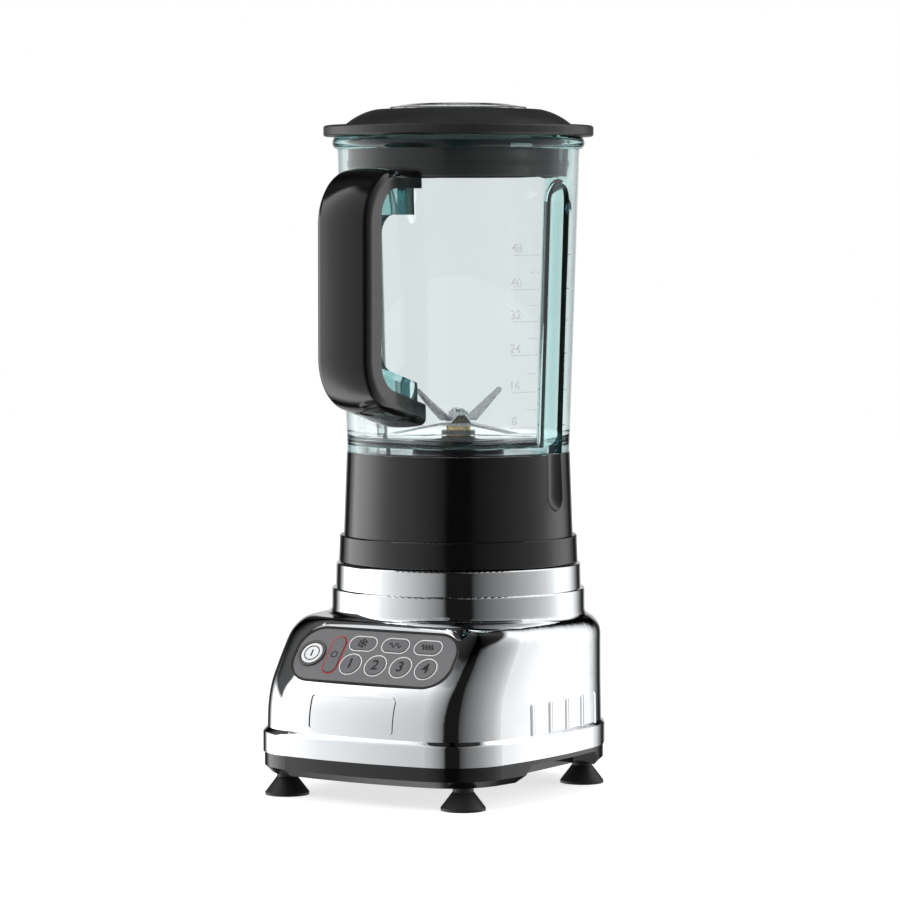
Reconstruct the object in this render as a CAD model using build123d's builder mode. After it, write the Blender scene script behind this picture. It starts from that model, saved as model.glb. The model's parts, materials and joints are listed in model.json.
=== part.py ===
from build123d import *
import os
from math import cos, degrees, radians, sin, sqrt, tan

# Countertop blender: chrome motor base, black jug collar with the blades, glass jug, lid and cap.
# Millimetres, +Z up, front towards -Y, origin under the middle of the whole blender.

# Clearances
SEAT_GAP = 0.3
RUN_GAP = 0.05
FIT_GAP = 0.02
KEY_GAP = 0.3
DROP_GAP = 0.5
END_GAP = 1.0
OVERCUT = 1.0

# Reach of the widest pieces from the jug's upright axis
HANDLE_REACH = 126.0
LID_R = 79.1

# Chrome housing: skirt outline in plan, measured from the jug axis
SKIRT_HALF_W = 85.2
SKIRT_FRONT = 115.7
SKIRT_REAR = 78.4
SIDE_SAG = 11.0
FRONT_SAG = 8.5
REAR_SAG = 4.0
FRONT_CORNER_R = 38.0
REAR_CORNER_R = 70.0
SKIRT_BOTTOM = 25.4
SKIRT_H = 11.1
COVE_H = 4.0
COVE_SINK = 0.3
COVE_STEPS = 4
WALL_STEPS = 3
WALL_STEP = 1.9
WALL_DRAFT = 1.1
HOUSING_WALL = 3.0

# Brow that leans back to carry the control panel, and the rounded shoulders beside it
HOOD_TOP = 102.0
SHOULDER_R = 12.0
BROW_R = 41.0
BROW_SAG = 2.5
BROW_CORNER_R = 33.0
CREST_R = 6.0
SLOPE_STEPS = 10
SHOULDER_STEPS = 8
PANEL_LEAN = 40.0
PANEL_FORWARD = 90.9
PANEL_Z = 82.8
PANEL_W = 109.0
PANEL_H = 38.0
PANEL_CORNER_R = 16.0
PANEL_T = 2.5
PANEL_RECESS = 1.6
PANEL_LEDGE = 3.0
PANEL_BEVEL = 45.0
PANEL_BEVEL_H = 4.0
FRAME_DEPTH = 3.0

# Relief on the housing
RIB_COUNT = 5
RIB_FIRST = -50.6
RIB_PITCH = 17.9
RIB_W = 4.8
RIB_H = 21.0
RIB_PROUD = 0.65
PLAQUE_W = 58.0
PLAQUE_H = 21.5
PLAQUE_Z = 52.3
PLAQUE_X = -2.7
PLAQUE_LINE = 1.4
PLAQUE_R = 3.0
PLAQUE_PROUD = 0.6

# Chrome tower under the jug
TOWER_INSET = 10.5
TOWER_TAPER = 0.3
TOWER_TOP = 117.0
TOWER_WALL = 3.0
TOWER_FOOT_R = 3.5
TOWER_EDGE_R = 1.2
DECK_T = 4.0
NECK_STEP = 2.5
NECK_TAPER = 0.3
NECK_H = 14.4
NECK_WALL = 6.0

# Jug seat cup inside the neck ring
SEAT_WALL = 3.0
SEAT_FLOOR_T = 3.0
SEAT_PAD_T = 2.5
SEAT_PAD_W = 3.0
SEAT_KEYS = 4
SEAT_KEY_W = 8.0
SEAT_KEY_PROUD = 1.6
SPLASH_RIM_R = 20.0
SPLASH_RIM_T = 2.5
SPLASH_RIM_H = 4.0
SEAT_SCREW_R = 1.75
SEAT_SCREW_HEAD_R = 3.2
SEAT_SCREW_HEAD_H = 2.0
SEAT_SCREW_INSET = 14.6
SEAT_SCREWS = 4

# Base plate and feet
PLATE_BOTTOM = 13.3
PLATE_T = 3.0
PLATE_WALL = 3.0
PLATE_INSET = 0.8
PLATE_CHAMFER = 4.0
PLATE_LIP_H = 4.0
PLATE_LIP_GAP = 1.2
GRIP_START = -63.0
GRIP_END = 28.0
GRIP_H = 9.3
GRIP_SLANT = 10.0
GRIP_DEPTH = 22.0
GRIP_WALL = 2.5
VENT_SLOTS = 9
VENT_PITCH = 8.0
VENT_W = 3.5
VENT_L = 36.0
FOOT_SPACING_X = 120.0
FOOT_SPACING_Y = 133.0
FOOT_FORWARD = 24.6
FOOT_R = 12.8
FOOT_LIP_H = 1.5
FOOT_LIP_W = 2.0
FOOT_NECK_R = 6.0
FOOT_STEM_R = 4.5
FOOT_HEAD_R = 6.0
FOOT_HEAD_H = 2.5
FOOT_CUP_H = 10.5
FOOT_CUP_DEPTH = 4.0
FOOT_ARCH_OUT = 0.6
FOOT_ARCH_UP = 0.7

# Base plate screws, which go up into posts of the housing
PLATE_SCREW_SPOTS = [(-57.0, -70.0), (57.0, -70.0), (-54.0, 18.0), (54.0, 18.0)]
POST_R = 5.0
POST_RISE = 3.5
SCREW_R = 1.9
SCREW_HEAD_R = 3.6
SCREW_HEAD_H = 2.4
SCREW_BITE = 16.0

# Inlet gland at the back
GLAND_Z = 46.0
GLAND_R = 6.5
GLAND_FLANGE_R = 8.5
GLAND_FLANGE_T = 1.2
GLAND_BORE_R = 3.6
GLAND_L = 14.0

# Keys: row and column places on the panel, from its middle
KEY_TRAVEL = 0.8
KEY_PROUD = 0.6
KEY_FLANGE_T = 1.0
KEY_FLANGE_W = 1.0
KEY_STEM_R = 1.6
ROUND_KEY_R = 6.4
ROUND_KEY_FIRST = -13.8
ROUND_KEY_PITCH = 17.0
ROUND_KEY_ROW = -5.6
ROUND_KEYS = 4
OBLONG_KEY_W = 17.0
OBLONG_KEY_H = 8.6
OBLONG_KEY_FIRST = -11.0
OBLONG_KEY_PITCH = 22.0
OBLONG_KEY_ROW = 8.8
OBLONG_KEY_NAMES = ["ice_key", "low_pulse_key", "high_pulse_key"]
STOP_KEY_W = 8.6
STOP_KEY_H = 24.4
STOP_KEY_P = -27.0
POWER_KEY_R = 7.0
POWER_KEY_P = -42.4
POWER_RIM_R = 8.6
POWER_RIM_H = 0.8

# Key board behind the panel
BOARD_DEPTH = 14.0
BOARD_T = 1.6
BOARD_W = 99.0
BOARD_H = 29.0
BOARD_CORNER_R = 11.0
BOARD_POSTS = [(-35.0, 13.0), (-35.0, -13.0), (46.5, 8.0), (46.5, -8.0)]
BOARD_POST_R = 2.2
BOARD_SCREW_R = 1.0
BOARD_SCREW_HEAD_R = 1.9
BOARD_SCREW_HEAD_H = 1.3
BOARD_SCREW_L = 6.0
SWITCH_W = 6.0
SWITCH_H = 4.0

# Power board on the base plate
POWER_BOARD_W = 76.0
POWER_BOARD_L = 34.0
POWER_BOARD_FORWARD = 82.0
POWER_BOARD_RISE = 6.0
POWER_POST_R = 3.0
POWER_POST_INSET = 5.0
HEAT_SINK_W = 30.0
HEAT_SINK_L = 10.0
HEAT_SINK_H = 22.0
HEAT_SINK_SLOTS = 4

# Motor
STATOR_R = 46.0
STATOR_YOKE = 9.0
STATOR_BORE_R = 24.0
STATOR_H = 36.0
STATOR_BOTTOM = 54.0
POLE_HALF_ANGLE = 25.0
COIL_HALF_ANGLE = 37.0
COIL_END_H = 6.0
COIL_GAP = 2.0
POLE_SLACK = 0.5
ROTOR_GAP = 0.6
ROTOR_SLOTS = 12
ROTOR_SLOT_W = 2.4
ROTOR_SLOT_DEPTH = 8.0
WINDING_R = 20.0
WINDING_H = 5.5
SHAFT_R = 4.0
SHAFT_SINK = 2.0
COMMUTATOR_R = 11.0
COMMUTATOR_H = 9.0
COMMUTATOR_BARS = 16
COMMUTATOR_SLOT = 2.0
BEARING_R = 11.0
BEARING_H = 7.0
BRACKET_HUB_WALL = 4.0
BRACKET_ARM_W = 12.0
BRACKET_ARM_T = 4.0
MOTOR_BOLTS = 4
MOTOR_BOLT_START = 45
MOTOR_BOLT_R = 2.0
MOTOR_BOLT_HEAD_R = 3.8
MOTOR_BOLT_HEAD_H = 3.0
MOTOR_BOLT_BITE = 12.0
FAN_R = 33.0
FAN_H = 7.0
FAN_DISC_T = 1.5
FAN_HUB_R = 8.0
FAN_BLADES = 9
FAN_BLADE_T = 1.6
BRUSHES = 2
BRUSH_W = 6.0
BRUSH_H = 5.0
BRUSH_L = 12.0
HOLDER_WALL = 1.5
HOLDER_L = 17.0
HOLDER_GAP = 2.0
MOUNT_R = 7.0
MOUNT_H = 8.0
MOUNT_EDGE_R = 1.0

# Dog coupling between motor and blades
DOG_LOBES = 6
DOG_ROOT_R = 7.5
DOG_LOBE_R = 2.6
DOG_H = 9.0
DOG_HUB_R = 9.0
DOG_HUB_H = 3.0
SOCKET_R = 15.0
SOCKET_DEPTH = 9.6
SOCKET_CROWN_T = 4.5

# Collar under the glass
COLLAR_TOP = 196.2
COLLAR_R_TOP = 65.6
COLLAR_STEP_Z = 147.8
COLLAR_R_STEP = 67.4
STEP_R_TOP = 69.7
STEP_R_BOTTOM = 70.3
COLLAR_SPIGOT_WALL = 3.5
COLLAR_EDGE_R = 1.0
FLOOR_Z = 197.0
FLOOR_T = 4.0
GASKET_Z = 182.0
GASKET_T = 2.0
LEDGE_T = 4.0
BOSS_WALL = 4.0
FLUTE_R = 13.0
COLLAR_FLUTE_DEPTH = 3.2
COLLAR_FLUTE_END = 160.0

# Glass jug
JUG_R_BOTTOM = 65.2
JUG_R_TOP = 70.8
BEAD_BOTTOM = 373.3
BEAD_R = 73.9
BEAD_FALL = 2.0
RIM_TOP = 380.5
GLASS_WALL = 5.0
JUG_FLUTE_DEPTH = 6.0
JUG_FLUTE_TOP = 353.0
NECK_OUTER_R = 57.4
NECK_INNER_R = 53.0
HEEL_RISE = 9.0
HEEL_STEP = 4.0
LUGS = 3
LUG_W = 12.0
LUG_H = 4.0
LUG_PROUD = 2.0
LUG_RISE = 1.5
LUG_SLACK = 1.0
LUG_FIRST = 30.0
LUG_TURN = 40.0

# Handle: glass bow with a black cover over its outside
HANDLE_TOP = 362.0
HANDLE_LOW = 213.0
HANDLE_SLOPE = 15.0
HANDLE_CORNER_R = 33.0
COVER_DEPTH = 16.0
COVER_TOP_T = 12.0
COVER_LOW_T = 14.0
COVER_W = 35.5
COVER_EDGE_R = 5.0
COVER_BOW = 2.6
COVER_BAR_T = 24.0
COVER_INNER_CORNER_R = 17.0
BOW_DEPTH = 7.0
BOW_TOP_T = 15.0
BOW_LOW_T = 12.0
BOW_W = 26.0
BOW_CORNER_R = 13.0
TONGUE = 5.0
HANDLE_SCREW_FORWARD = 98.0
HANDLE_SCREW_R = 2.4
HANDLE_SCREW_HEAD_R = 4.0
HANDLE_SCREW_HEAD_H = 2.2
HANDLE_SCREW_SINK = 3.0
HANDLE_SCREW_BITE = 7.0

# Bearing housing in the collar floor
HUB_FLANGE_R = 27.0
HUB_FLANGE_T = 2.0
HUB_CONE_H = 7.0
HUB_NECK_R = 10.0
HUB_TOP = 209.0
HUB_TUBE_R = 12.0
HUB_BOTTOM = 150.0
HUB_NUT_R = 20.0
HUB_NUT_H = 7.0
BUSH_R = 6.5
BUSH_H = 13.0
BUSH_FLANGE_R = 7.2
BUSH_FLANGE_H = 2.4
SEAL_H = 5.0

# Blades
BLADE_T = 1.5
BLADE_W = 12.0
BLADE_TIP_W = 4.0
BLADE_FLAT = 9.0
BLADE_GAP = 0.3
UP_BLADE_REACH = 27.0
UP_BLADE_RISE = 17.0
UP_BLADE_TURN = 67.0
LONG_BLADE_REACH = 45.0
LONG_BLADE_RISE = -7.0
LONG_BLADE_TURN = 17.0
SIDE_BLADE_REACH = 33.0
SIDE_BLADE_RISE = 6.0
SIDE_BLADE_TURN = 132.0
BLADE_NUT_R = 6.5
BLADE_NUT_H = 4.0
SHAFT_CROWN = 1.5

# Lid and filler cap
LID_FLANGE_T = 6.4
LID_DOME_H = 9.3
LID_DOME_FOOT_R = 67.0
LID_CROWN_R = 49.0
LID_DOME_BULGE = 1.0
LID_EDGE_R = 1.5
LID_TOP_T = 4.0
LID_PLUG_DEPTH = 23.3
LID_PLUG_WALL = 4.0
LID_PLUG_GAP = 0.6
LID_SEAL_DROP = 14.0
LID_SEAL_H = 4.0
LID_SEAL_DEPTH = 1.6
LID_SEAL_GAP = 0.3
FILLER_R = 33.0
FILLER_TUBE_T = 3.0
FILLER_TUBE_H = 20.0
CAP_R = 40.0
CAP_TOP_R = 28.0
CAP_RISE = 3.4
CAP_RIM_T = 1.2
CAP_WALL = 2.4
CAP_SKIRT_H = 18.0

# Places that follow from the driving dimensions
AXIS_Y = (HANDLE_REACH - LID_R) / 2
SPINDLE = Axis((0, AXIS_Y, 0), (0, 0, 1))
SECTION = Plane((0, AXIS_Y, 0), x_dir=(1, 0, 0), z_dir=(0, -1, 0))
SIDE_VIEW = Plane((0, AXIS_Y, 0), x_dir=(0, -1, 0), z_dir=(-1, 0, 0))
LEAN = radians(PANEL_LEAN)
PANEL = Plane(
    (0, AXIS_Y - PANEL_FORWARD, PANEL_Z), x_dir=(1, 0, 0), z_dir=(0, -cos(LEAN), sin(LEAN))
)
SKIRT_TOP = SKIRT_BOTTOM + SKIRT_H
WALL_FRONT = SKIRT_FRONT - WALL_STEP
BROW_FACE = PANEL_FORWARD + PANEL_RECESS / cos(LEAN)
BROW_Z = PANEL_Z + (BROW_FACE - BROW_R / cos(LEAN) - WALL_FRONT + BROW_R) / tan(LEAN)
COVE_REACH = WALL_STEP + COVE_SINK
SHOULDER_Z = HOOD_TOP - SHOULDER_R
CREST_Z = HOOD_TOP - CREST_R
CREST_FACE = BROW_FACE - (CREST_Z + CREST_R / sin(LEAN) - PANEL_Z) * tan(LEAN)
RIB_R = (RIB_W**2 / 4 + RIB_PROUD**2) / (2 * RIB_PROUD)

TOWER_R_BOTTOM = SKIRT_HALF_W - TOWER_INSET
TOWER_R_TOP = TOWER_R_BOTTOM - TOWER_TAPER
NECK_R_BOTTOM = TOWER_R_BOTTOM - NECK_STEP
NECK_R_TOP = NECK_R_BOTTOM - NECK_TAPER
NECK_TOP = TOWER_TOP + NECK_H
SEAT_OUTER_R = NECK_R_TOP - NECK_WALL - SEAT_GAP
SEAT_INNER_R = SEAT_OUTER_R - SEAT_WALL
SEAT_SCREW_CIRCLE = SEAT_INNER_R - SEAT_SCREW_INSET
SEAT_FLOOR = TOWER_TOP + SEAT_FLOOR_T
SPIGOT_R = SEAT_INNER_R - DROP_GAP
SPIGOT_BOTTOM = SEAT_FLOOR + SEAT_PAD_T + SEAT_GAP
COLLAR_BOTTOM = NECK_TOP + SEAT_GAP
SPIGOT_INNER_R = SPIGOT_R - COLLAR_SPIGOT_WALL

DECK_BOTTOM = TOWER_TOP - DECK_T
STATOR_TOP = STATOR_BOTTOM + STATOR_H
ROTOR_R = STATOR_BORE_R - ROTOR_GAP
BOLT_CIRCLE = STATOR_R - STATOR_YOKE / 2
COMMUTATOR_BOTTOM = STATOR_BOTTOM - WINDING_H - COMMUTATOR_H
LOWER_BEARING_Z = COMMUTATOR_BOTTOM - BEARING_H - END_GAP
FAN_Z = STATOR_TOP + COIL_END_H + END_GAP
UPPER_BEARING_Z = FAN_Z + FAN_H + END_GAP
DOG_Z = SEAT_FLOOR + END_GAP
DOG_TOP = DOG_Z + DOG_HUB_H + DOG_H
SOCKET_BOTTOM = SEAT_FLOOR + SPLASH_RIM_H + SEAT_GAP
SOCKET_TOP = SOCKET_BOTTOM + SOCKET_DEPTH + SOCKET_CROWN_T
PLATE_FLOOR = PLATE_BOTTOM + PLATE_T

JUG_BOTTOM = COLLAR_TOP + SEAT_GAP
JUG_TAPER = (JUG_R_TOP - JUG_R_BOTTOM) / (BEAD_BOTTOM - JUG_BOTTOM)
NECK_BOTTOM = GASKET_Z + GASKET_T + SEAT_GAP
BLADE_Z = HUB_TOP + BUSH_FLANGE_H + BLADE_GAP
BLADE_STACK = [BLADE_Z + i * (BLADE_T + FIT_GAP) for i in range(3)]
NUT_Z = BLADE_STACK[2] + BLADE_T + FIT_GAP
LID_FLANGE_Z = RIM_TOP + SEAT_GAP
LID_TOP = LID_FLANGE_Z + LID_FLANGE_T + LID_DOME_H


def level(z):
    """Horizontal plane at height z with its origin on the jug axis."""
    return Plane((0, AXIS_Y, z))


def section(*points):
    """Face through (radius, height) points, to be turned about the jug axis."""
    with BuildSketch(SECTION) as sketch:
        with BuildLine():
            Polyline(*points, close=True)
        make_face()
    return sketch.sketch


def ring(inner, outer, bottom, top):
    """Section of a plain ring."""
    return section((inner, bottom), (outer, bottom), (outer, top), (inner, top))


def keep(builder, name):
    """Label a finished piece and write it."""
    builder.part.label = name
    export_step(builder.part, f"parts/{name}.step")


def base_outline(z, inset, forward, sag, corner):
    """Plan of the base at height z: four bowed sides with rounded corners."""
    half = SKIRT_HALF_W - inset
    rear = SKIRT_REAR - inset
    side = half - SIDE_SAG
    front_y = sag - forward
    rear_y = rear - REAR_SAG
    mid_y = (front_y + rear_y) / 2
    with BuildSketch(level(z)) as outline:
        with BuildLine():
            ThreePointArc((-side, front_y), (0, -forward), (side, front_y))
            ThreePointArc((side, front_y), (half, mid_y), (side, rear_y))
            ThreePointArc((side, rear_y), (0, rear), (-side, rear_y))
            ThreePointArc((-side, rear_y), (-half, mid_y), (-side, front_y))
        make_face()
        fillet(outline.vertices().sort_by(Axis.Y)[:2], corner)
        fillet(outline.vertices().sort_by(Axis.Y)[-2:], REAR_CORNER_R - inset)
    return outline.sketch


def skirt_outline(z, inset):
    """Plan of the skirt, or of what fits under it."""
    return base_outline(z, inset, SKIRT_FRONT - inset, FRONT_SAG, FRONT_CORNER_R - inset)


def brow_forward(z, depth):
    """Reach of the housing's front at height z, depth below its surface."""
    brow = BROW_R - depth
    crest = CREST_R - depth
    if z <= BROW_Z:
        return WALL_FRONT - depth
    if z <= BROW_Z + brow * sin(LEAN):
        return WALL_FRONT - BROW_R + sqrt(brow**2 - (z - BROW_Z) ** 2)
    if z <= CREST_Z + crest * sin(LEAN):
        return BROW_FACE - depth / cos(LEAN) - (z - PANEL_Z) * tan(LEAN)
    return CREST_FACE + sqrt(max(crest**2 - (z - CREST_Z) ** 2, 0))


def smooth(part, whole):
    """Share of a whole, from 0 to 1, that starts and ends level."""
    share = min(max(part / whole, 0), 1)
    return share**2 * (3 - 2 * share)


def hood_section(z, depth, step=WALL_STEP):
    """Plan of the housing at height z, depth below its surface, a step back from the skirt."""
    blend = smooth(z - BROW_Z, SHOULDER_Z - BROW_Z)
    sag = FRONT_SAG + (BROW_SAG - FRONT_SAG) * blend
    corner = FRONT_CORNER_R + (BROW_CORNER_R - FRONT_CORNER_R) * blend - depth
    round_r = SHOULDER_R - depth
    rise = min(max(z - SHOULDER_Z, 0), round_r)
    draft = max(z - SKIRT_TOP, 0) * tan(radians(WALL_DRAFT))
    inset = step + depth + draft + round_r - sqrt(round_r**2 - rise**2)
    return base_outline(z, inset, brow_forward(z, depth) + WALL_STEP - step, sag, corner)


def hood_loft_sections(foot, depth):
    """Sections of the housing from the foot of its wall to the top of its shoulders."""
    wall = [foot + (BROW_Z - foot) * k / WALL_STEPS for k in range(WALL_STEPS)]
    slope = [BROW_Z + (SHOULDER_Z - BROW_Z) * k / SLOPE_STEPS for k in range(SLOPE_STEPS)]
    turns = [radians(90 * k / SHOULDER_STEPS) for k in range(SHOULDER_STEPS + 1)]
    shoulder = [SHOULDER_Z + (SHOULDER_R - depth) * sin(turn) for turn in turns]
    return [hood_section(z, depth) for z in wall + slope + shoulder]


def panel_shape(grow, depth):
    """Outline of the control panel, grown by an amount, at a depth under its face."""
    with BuildSketch(PANEL.offset(-depth)) as shape:
        RectangleRounded(PANEL_W + 2 * grow, PANEL_H + 2 * grow, PANEL_CORNER_R + grow)
    return shape.sketch


os.makedirs("parts", exist_ok=True)

# Chrome housing: cavity first, with the screw posts and the panel frame left standing in it
CAVITY_FOOT = SKIRT_BOTTOM - OVERCUT
GLAND_WALL_Y = SKIRT_REAR - WALL_STEP - (GLAND_Z - SKIRT_TOP) * tan(radians(WALL_DRAFT))
with BuildPart() as cavity:
    loft(hood_loft_sections(CAVITY_FOOT, HOUSING_WALL))
    revolve(ring(0, TOWER_R_TOP - TOWER_WALL, SHOULDER_Z, DECK_BOTTOM), axis=SPINDLE)
    with BuildSketch(level(SKIRT_BOTTOM + POST_RISE)):
        with Locations(*PLATE_SCREW_SPOTS):
            Circle(POST_R)
    extrude(amount=TOWER_TOP, mode=Mode.SUBTRACT)
    frame_outline = panel_shape(PANEL_LEDGE, PANEL_T + FRAME_DEPTH)
    extrude(frame_outline, amount=PANEL_T + FRAME_DEPTH + PANEL_H, mode=Mode.SUBTRACT)

# Frame of the plaque, at a constant height above the front wall
with BuildPart() as plaque_frame:
    loft(hood_loft_sections(SKIRT_BOTTOM, -PLAQUE_PROUD))
    with BuildSketch(Plane((PLAQUE_X, AXIS_Y, PLAQUE_Z), x_dir=(1, 0, 0), z_dir=(0, -1, 0))):
        RectangleRounded(PLAQUE_W, PLAQUE_H, PLAQUE_R)
        RectangleRounded(
            PLAQUE_W - 2 * PLAQUE_LINE,
            PLAQUE_H - 2 * PLAQUE_LINE,
            PLAQUE_R - PLAQUE_LINE,
            mode=Mode.SUBTRACT,
        )
    extrude(amount=2 * SKIRT_FRONT, mode=Mode.INTERSECT)


def rib(wall, side, y):
    """Round-ended rod let into a side wall, its foot in the flare of the skirt."""
    spots = []
    for rise in (RIB_H / 2, RIB_H - RIB_W / 2):
        line = Axis((side * 2 * SKIRT_HALF_W, AXIS_Y + y, SKIRT_TOP + rise), (-side, 0, 0))
        spot, facing = wall.find_intersection_points(line)[0]
        spots.append(spot - facing * (RIB_R - RIB_PROUD))
    low, head = spots
    foot = low + (low - head)
    with BuildPart() as rod:
        with BuildSketch(Plane(foot, z_dir=head - foot)):
            Circle(RIB_R)
        extrude(amount=(head - foot).length)
        with Locations(head):
            Sphere(RIB_R)
    return rod.part


# Skirt band, flaring out from the wall above it
with BuildPart() as skirt:
    extrude(skirt_outline(SKIRT_BOTTOM, 0), amount=SKIRT_H)
    shares = [k / COVE_STEPS for k in range(COVE_STEPS + 1)]
    flare = [(SKIRT_TOP + COVE_H * share, COVE_REACH * smooth(share, 1)) for share in shares]
    loft([hood_section(z, 0, step) for z, step in flare])

with BuildPart() as housing:
    loft(hood_loft_sections(SKIRT_BOTTOM, 0))
    wall = housing.part
    tower = section(
        (0, SHOULDER_Z),
        (TOWER_R_BOTTOM, SHOULDER_Z),
        (TOWER_R_TOP, TOWER_TOP),
        (0, TOWER_TOP),
    )
    revolve(tower, axis=SPINDLE)
    tower_face = housing.faces().filter_by(GeomType.CONE)[0]
    tower_foot = [edge for edge in tower_face.edges() if edge.center().Z < HOOD_TOP + FIT_GAP]
    fillet([edge for edge in tower_foot if edge.bounding_box().max.Z < TOWER_TOP], TOWER_FOOT_R)
    fillet(housing.edges().group_by(Axis.Z)[-1], TOWER_EDGE_R)
    for side in (-1, 1):
        for k in range(RIB_COUNT):
            add(rib(wall, side, RIB_FIRST + k * RIB_PITCH))
    add(skirt.part)
    add(plaque_frame.part)
    add(cavity.part, mode=Mode.SUBTRACT)
    extrude(panel_shape(FIT_GAP, PANEL_T), amount=PANEL_T, mode=Mode.SUBTRACT)
    extrude(panel_shape(FIT_GAP, 0), amount=PANEL_BEVEL_H, taper=-PANEL_BEVEL, mode=Mode.SUBTRACT)
    opening = panel_shape(-PANEL_LEDGE, PANEL_T + FRAME_DEPTH)
    extrude(opening, amount=PANEL_H, mode=Mode.SUBTRACT)
    deck_hole = ring(0, SPLASH_RIM_R, DECK_BOTTOM - OVERCUT, TOWER_TOP + OVERCUT)
    revolve(deck_hole, axis=SPINDLE, mode=Mode.SUBTRACT)
    with BuildSketch(level(TOWER_TOP)):
        with PolarLocations(SEAT_SCREW_CIRCLE, SEAT_SCREWS):
            Circle(SEAT_SCREW_R + FIT_GAP)
    extrude(amount=-DECK_T, mode=Mode.SUBTRACT)
    with BuildSketch(level(SKIRT_BOTTOM)):
        with Locations(*PLATE_SCREW_SPOTS):
            Circle(SCREW_R + FIT_GAP)
    extrude(amount=POST_RISE + SCREW_BITE, mode=Mode.SUBTRACT)
    with BuildSketch(Plane((0, AXIS_Y, GLAND_Z), x_dir=(-1, 0, 0), z_dir=(0, 1, 0))):
        Circle(GLAND_R + FIT_GAP)
    extrude(amount=2 * SKIRT_REAR, mode=Mode.SUBTRACT)
    gland_seat = (0, AXIS_Y + GLAND_WALL_Y + SEAT_GAP / 2, GLAND_Z)
    with BuildSketch(Plane(gland_seat, x_dir=(-1, 0, 0), z_dir=(0, 1, 0))):
        Circle(GLAND_FLANGE_R + FIT_GAP)
    extrude(amount=SKIRT_REAR, mode=Mode.SUBTRACT)
keep(housing, "housing")

# Neck ring that the jug collar sits down on
with BuildPart() as neck_ring:
    neck_inner_r = NECK_R_TOP - NECK_WALL
    neck_profile = section(
        (neck_inner_r, TOWER_TOP),
        (NECK_R_BOTTOM, TOWER_TOP),
        (NECK_R_TOP, NECK_TOP),
        (neck_inner_r, NECK_TOP),
    )
    revolve(neck_profile, axis=SPINDLE)
    fillet(neck_ring.edges().group_by(Axis.Z)[-1], COLLAR_EDGE_R)
keep(neck_ring, "neck_ring")

# Seat cup with locating keys and a splash rim round the drive
with BuildPart() as jug_seat:
    revolve(ring(SPLASH_RIM_R - SPLASH_RIM_T, SEAT_OUTER_R, TOWER_TOP, SEAT_FLOOR), axis=SPINDLE)
    revolve(ring(SEAT_INNER_R, SEAT_OUTER_R, TOWER_TOP, NECK_TOP - SEAT_GAP), axis=SPINDLE)
    splash_rim = ring(
        SPLASH_RIM_R - SPLASH_RIM_T, SPLASH_RIM_R, TOWER_TOP, SEAT_FLOOR + SPLASH_RIM_H
    )
    revolve(splash_rim, axis=SPINDLE)
    with BuildSketch(level(SEAT_FLOOR)):
        with PolarLocations(SEAT_INNER_R, SEAT_KEYS):
            Rectangle(2 * SEAT_KEY_PROUD, SEAT_KEY_W)
    extrude(amount=NECK_TOP - SEAT_GAP - SEAT_FLOOR)
    with BuildSketch(level(TOWER_TOP)):
        with PolarLocations(SEAT_SCREW_CIRCLE, SEAT_SCREWS):
            Circle(SEAT_SCREW_R + FIT_GAP)
    extrude(amount=SEAT_FLOOR_T, mode=Mode.SUBTRACT)
keep(jug_seat, "jug_seat")

with BuildPart() as seat_pad:
    pad_r = SEAT_INNER_R - SEAT_KEY_PROUD - SEAT_GAP
    revolve(ring(pad_r - SEAT_PAD_W, pad_r, SEAT_FLOOR, SEAT_FLOOR + SEAT_PAD_T), axis=SPINDLE)
keep(seat_pad, "seat_pad")

with BuildPart() as seat_screws:
    with BuildSketch(level(SEAT_FLOOR)):
        with PolarLocations(SEAT_SCREW_CIRCLE, SEAT_SCREWS):
            Circle(SEAT_SCREW_HEAD_R)
    extrude(amount=SEAT_SCREW_HEAD_H)
    with BuildSketch(level(SEAT_FLOOR)):
        with PolarLocations(SEAT_SCREW_CIRCLE, SEAT_SCREWS):
            Circle(SEAT_SCREW_R)
    extrude(amount=-SEAT_FLOOR_T - DECK_T)
    fillet(seat_screws.edges().group_by(Axis.Z)[-1], SEAT_SCREW_HEAD_H / 2)
keep(seat_screws, "seat_screws")

# Base plate: a tray under the skirt, with posts for what stands on it and a finger recess each side
LIP_DEPTH = HOUSING_WALL + PLATE_LIP_GAP
TRAY_DEPTH = LIP_DEPTH + PLATE_WALL
POST_TOP = SKIRT_BOTTOM + POST_RISE
MOUNT_TOP = LOWER_BEARING_Z
MOUNT_BOTTOM = MOUNT_TOP - MOUNT_H
FOOT_SPOTS = [
    (x, y - FOOT_FORWARD)
    for x in (-FOOT_SPACING_X / 2, FOOT_SPACING_X / 2)
    for y in (-FOOT_SPACING_Y / 2, FOOT_SPACING_Y / 2)
]
POWER_POST_SPOTS = [
    (x * (POWER_BOARD_W / 2 - POWER_POST_INSET), y * (POWER_BOARD_L / 2 - POWER_POST_INSET))
    for x in (-1, 1)
    for y in (-1, 1)
]
GRIP_X = SKIRT_HALF_W - PLATE_INSET - GRIP_DEPTH

with BuildPart() as plate_block:
    plate_outline = skirt_outline(PLATE_BOTTOM, PLATE_INSET)
    extrude(plate_outline, amount=SKIRT_BOTTOM - PLATE_BOTTOM)
    chamfer(plate_block.edges().group_by(Axis.Z)[0], PLATE_CHAMFER)

with BuildPart() as grip_walls:
    with BuildSketch(level(PLATE_BOTTOM)):
        with Locations((0, (GRIP_START + GRIP_END) / 2)):
            Rectangle(4 * SKIRT_HALF_W, GRIP_END - GRIP_START + 2 * GRIP_WALL)
            Rectangle(2 * (GRIP_X - GRIP_WALL), 2 * SKIRT_FRONT, mode=Mode.SUBTRACT)
    extrude(amount=GRIP_H + GRIP_WALL)
    add(plate_block.part, mode=Mode.INTERSECT)

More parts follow.
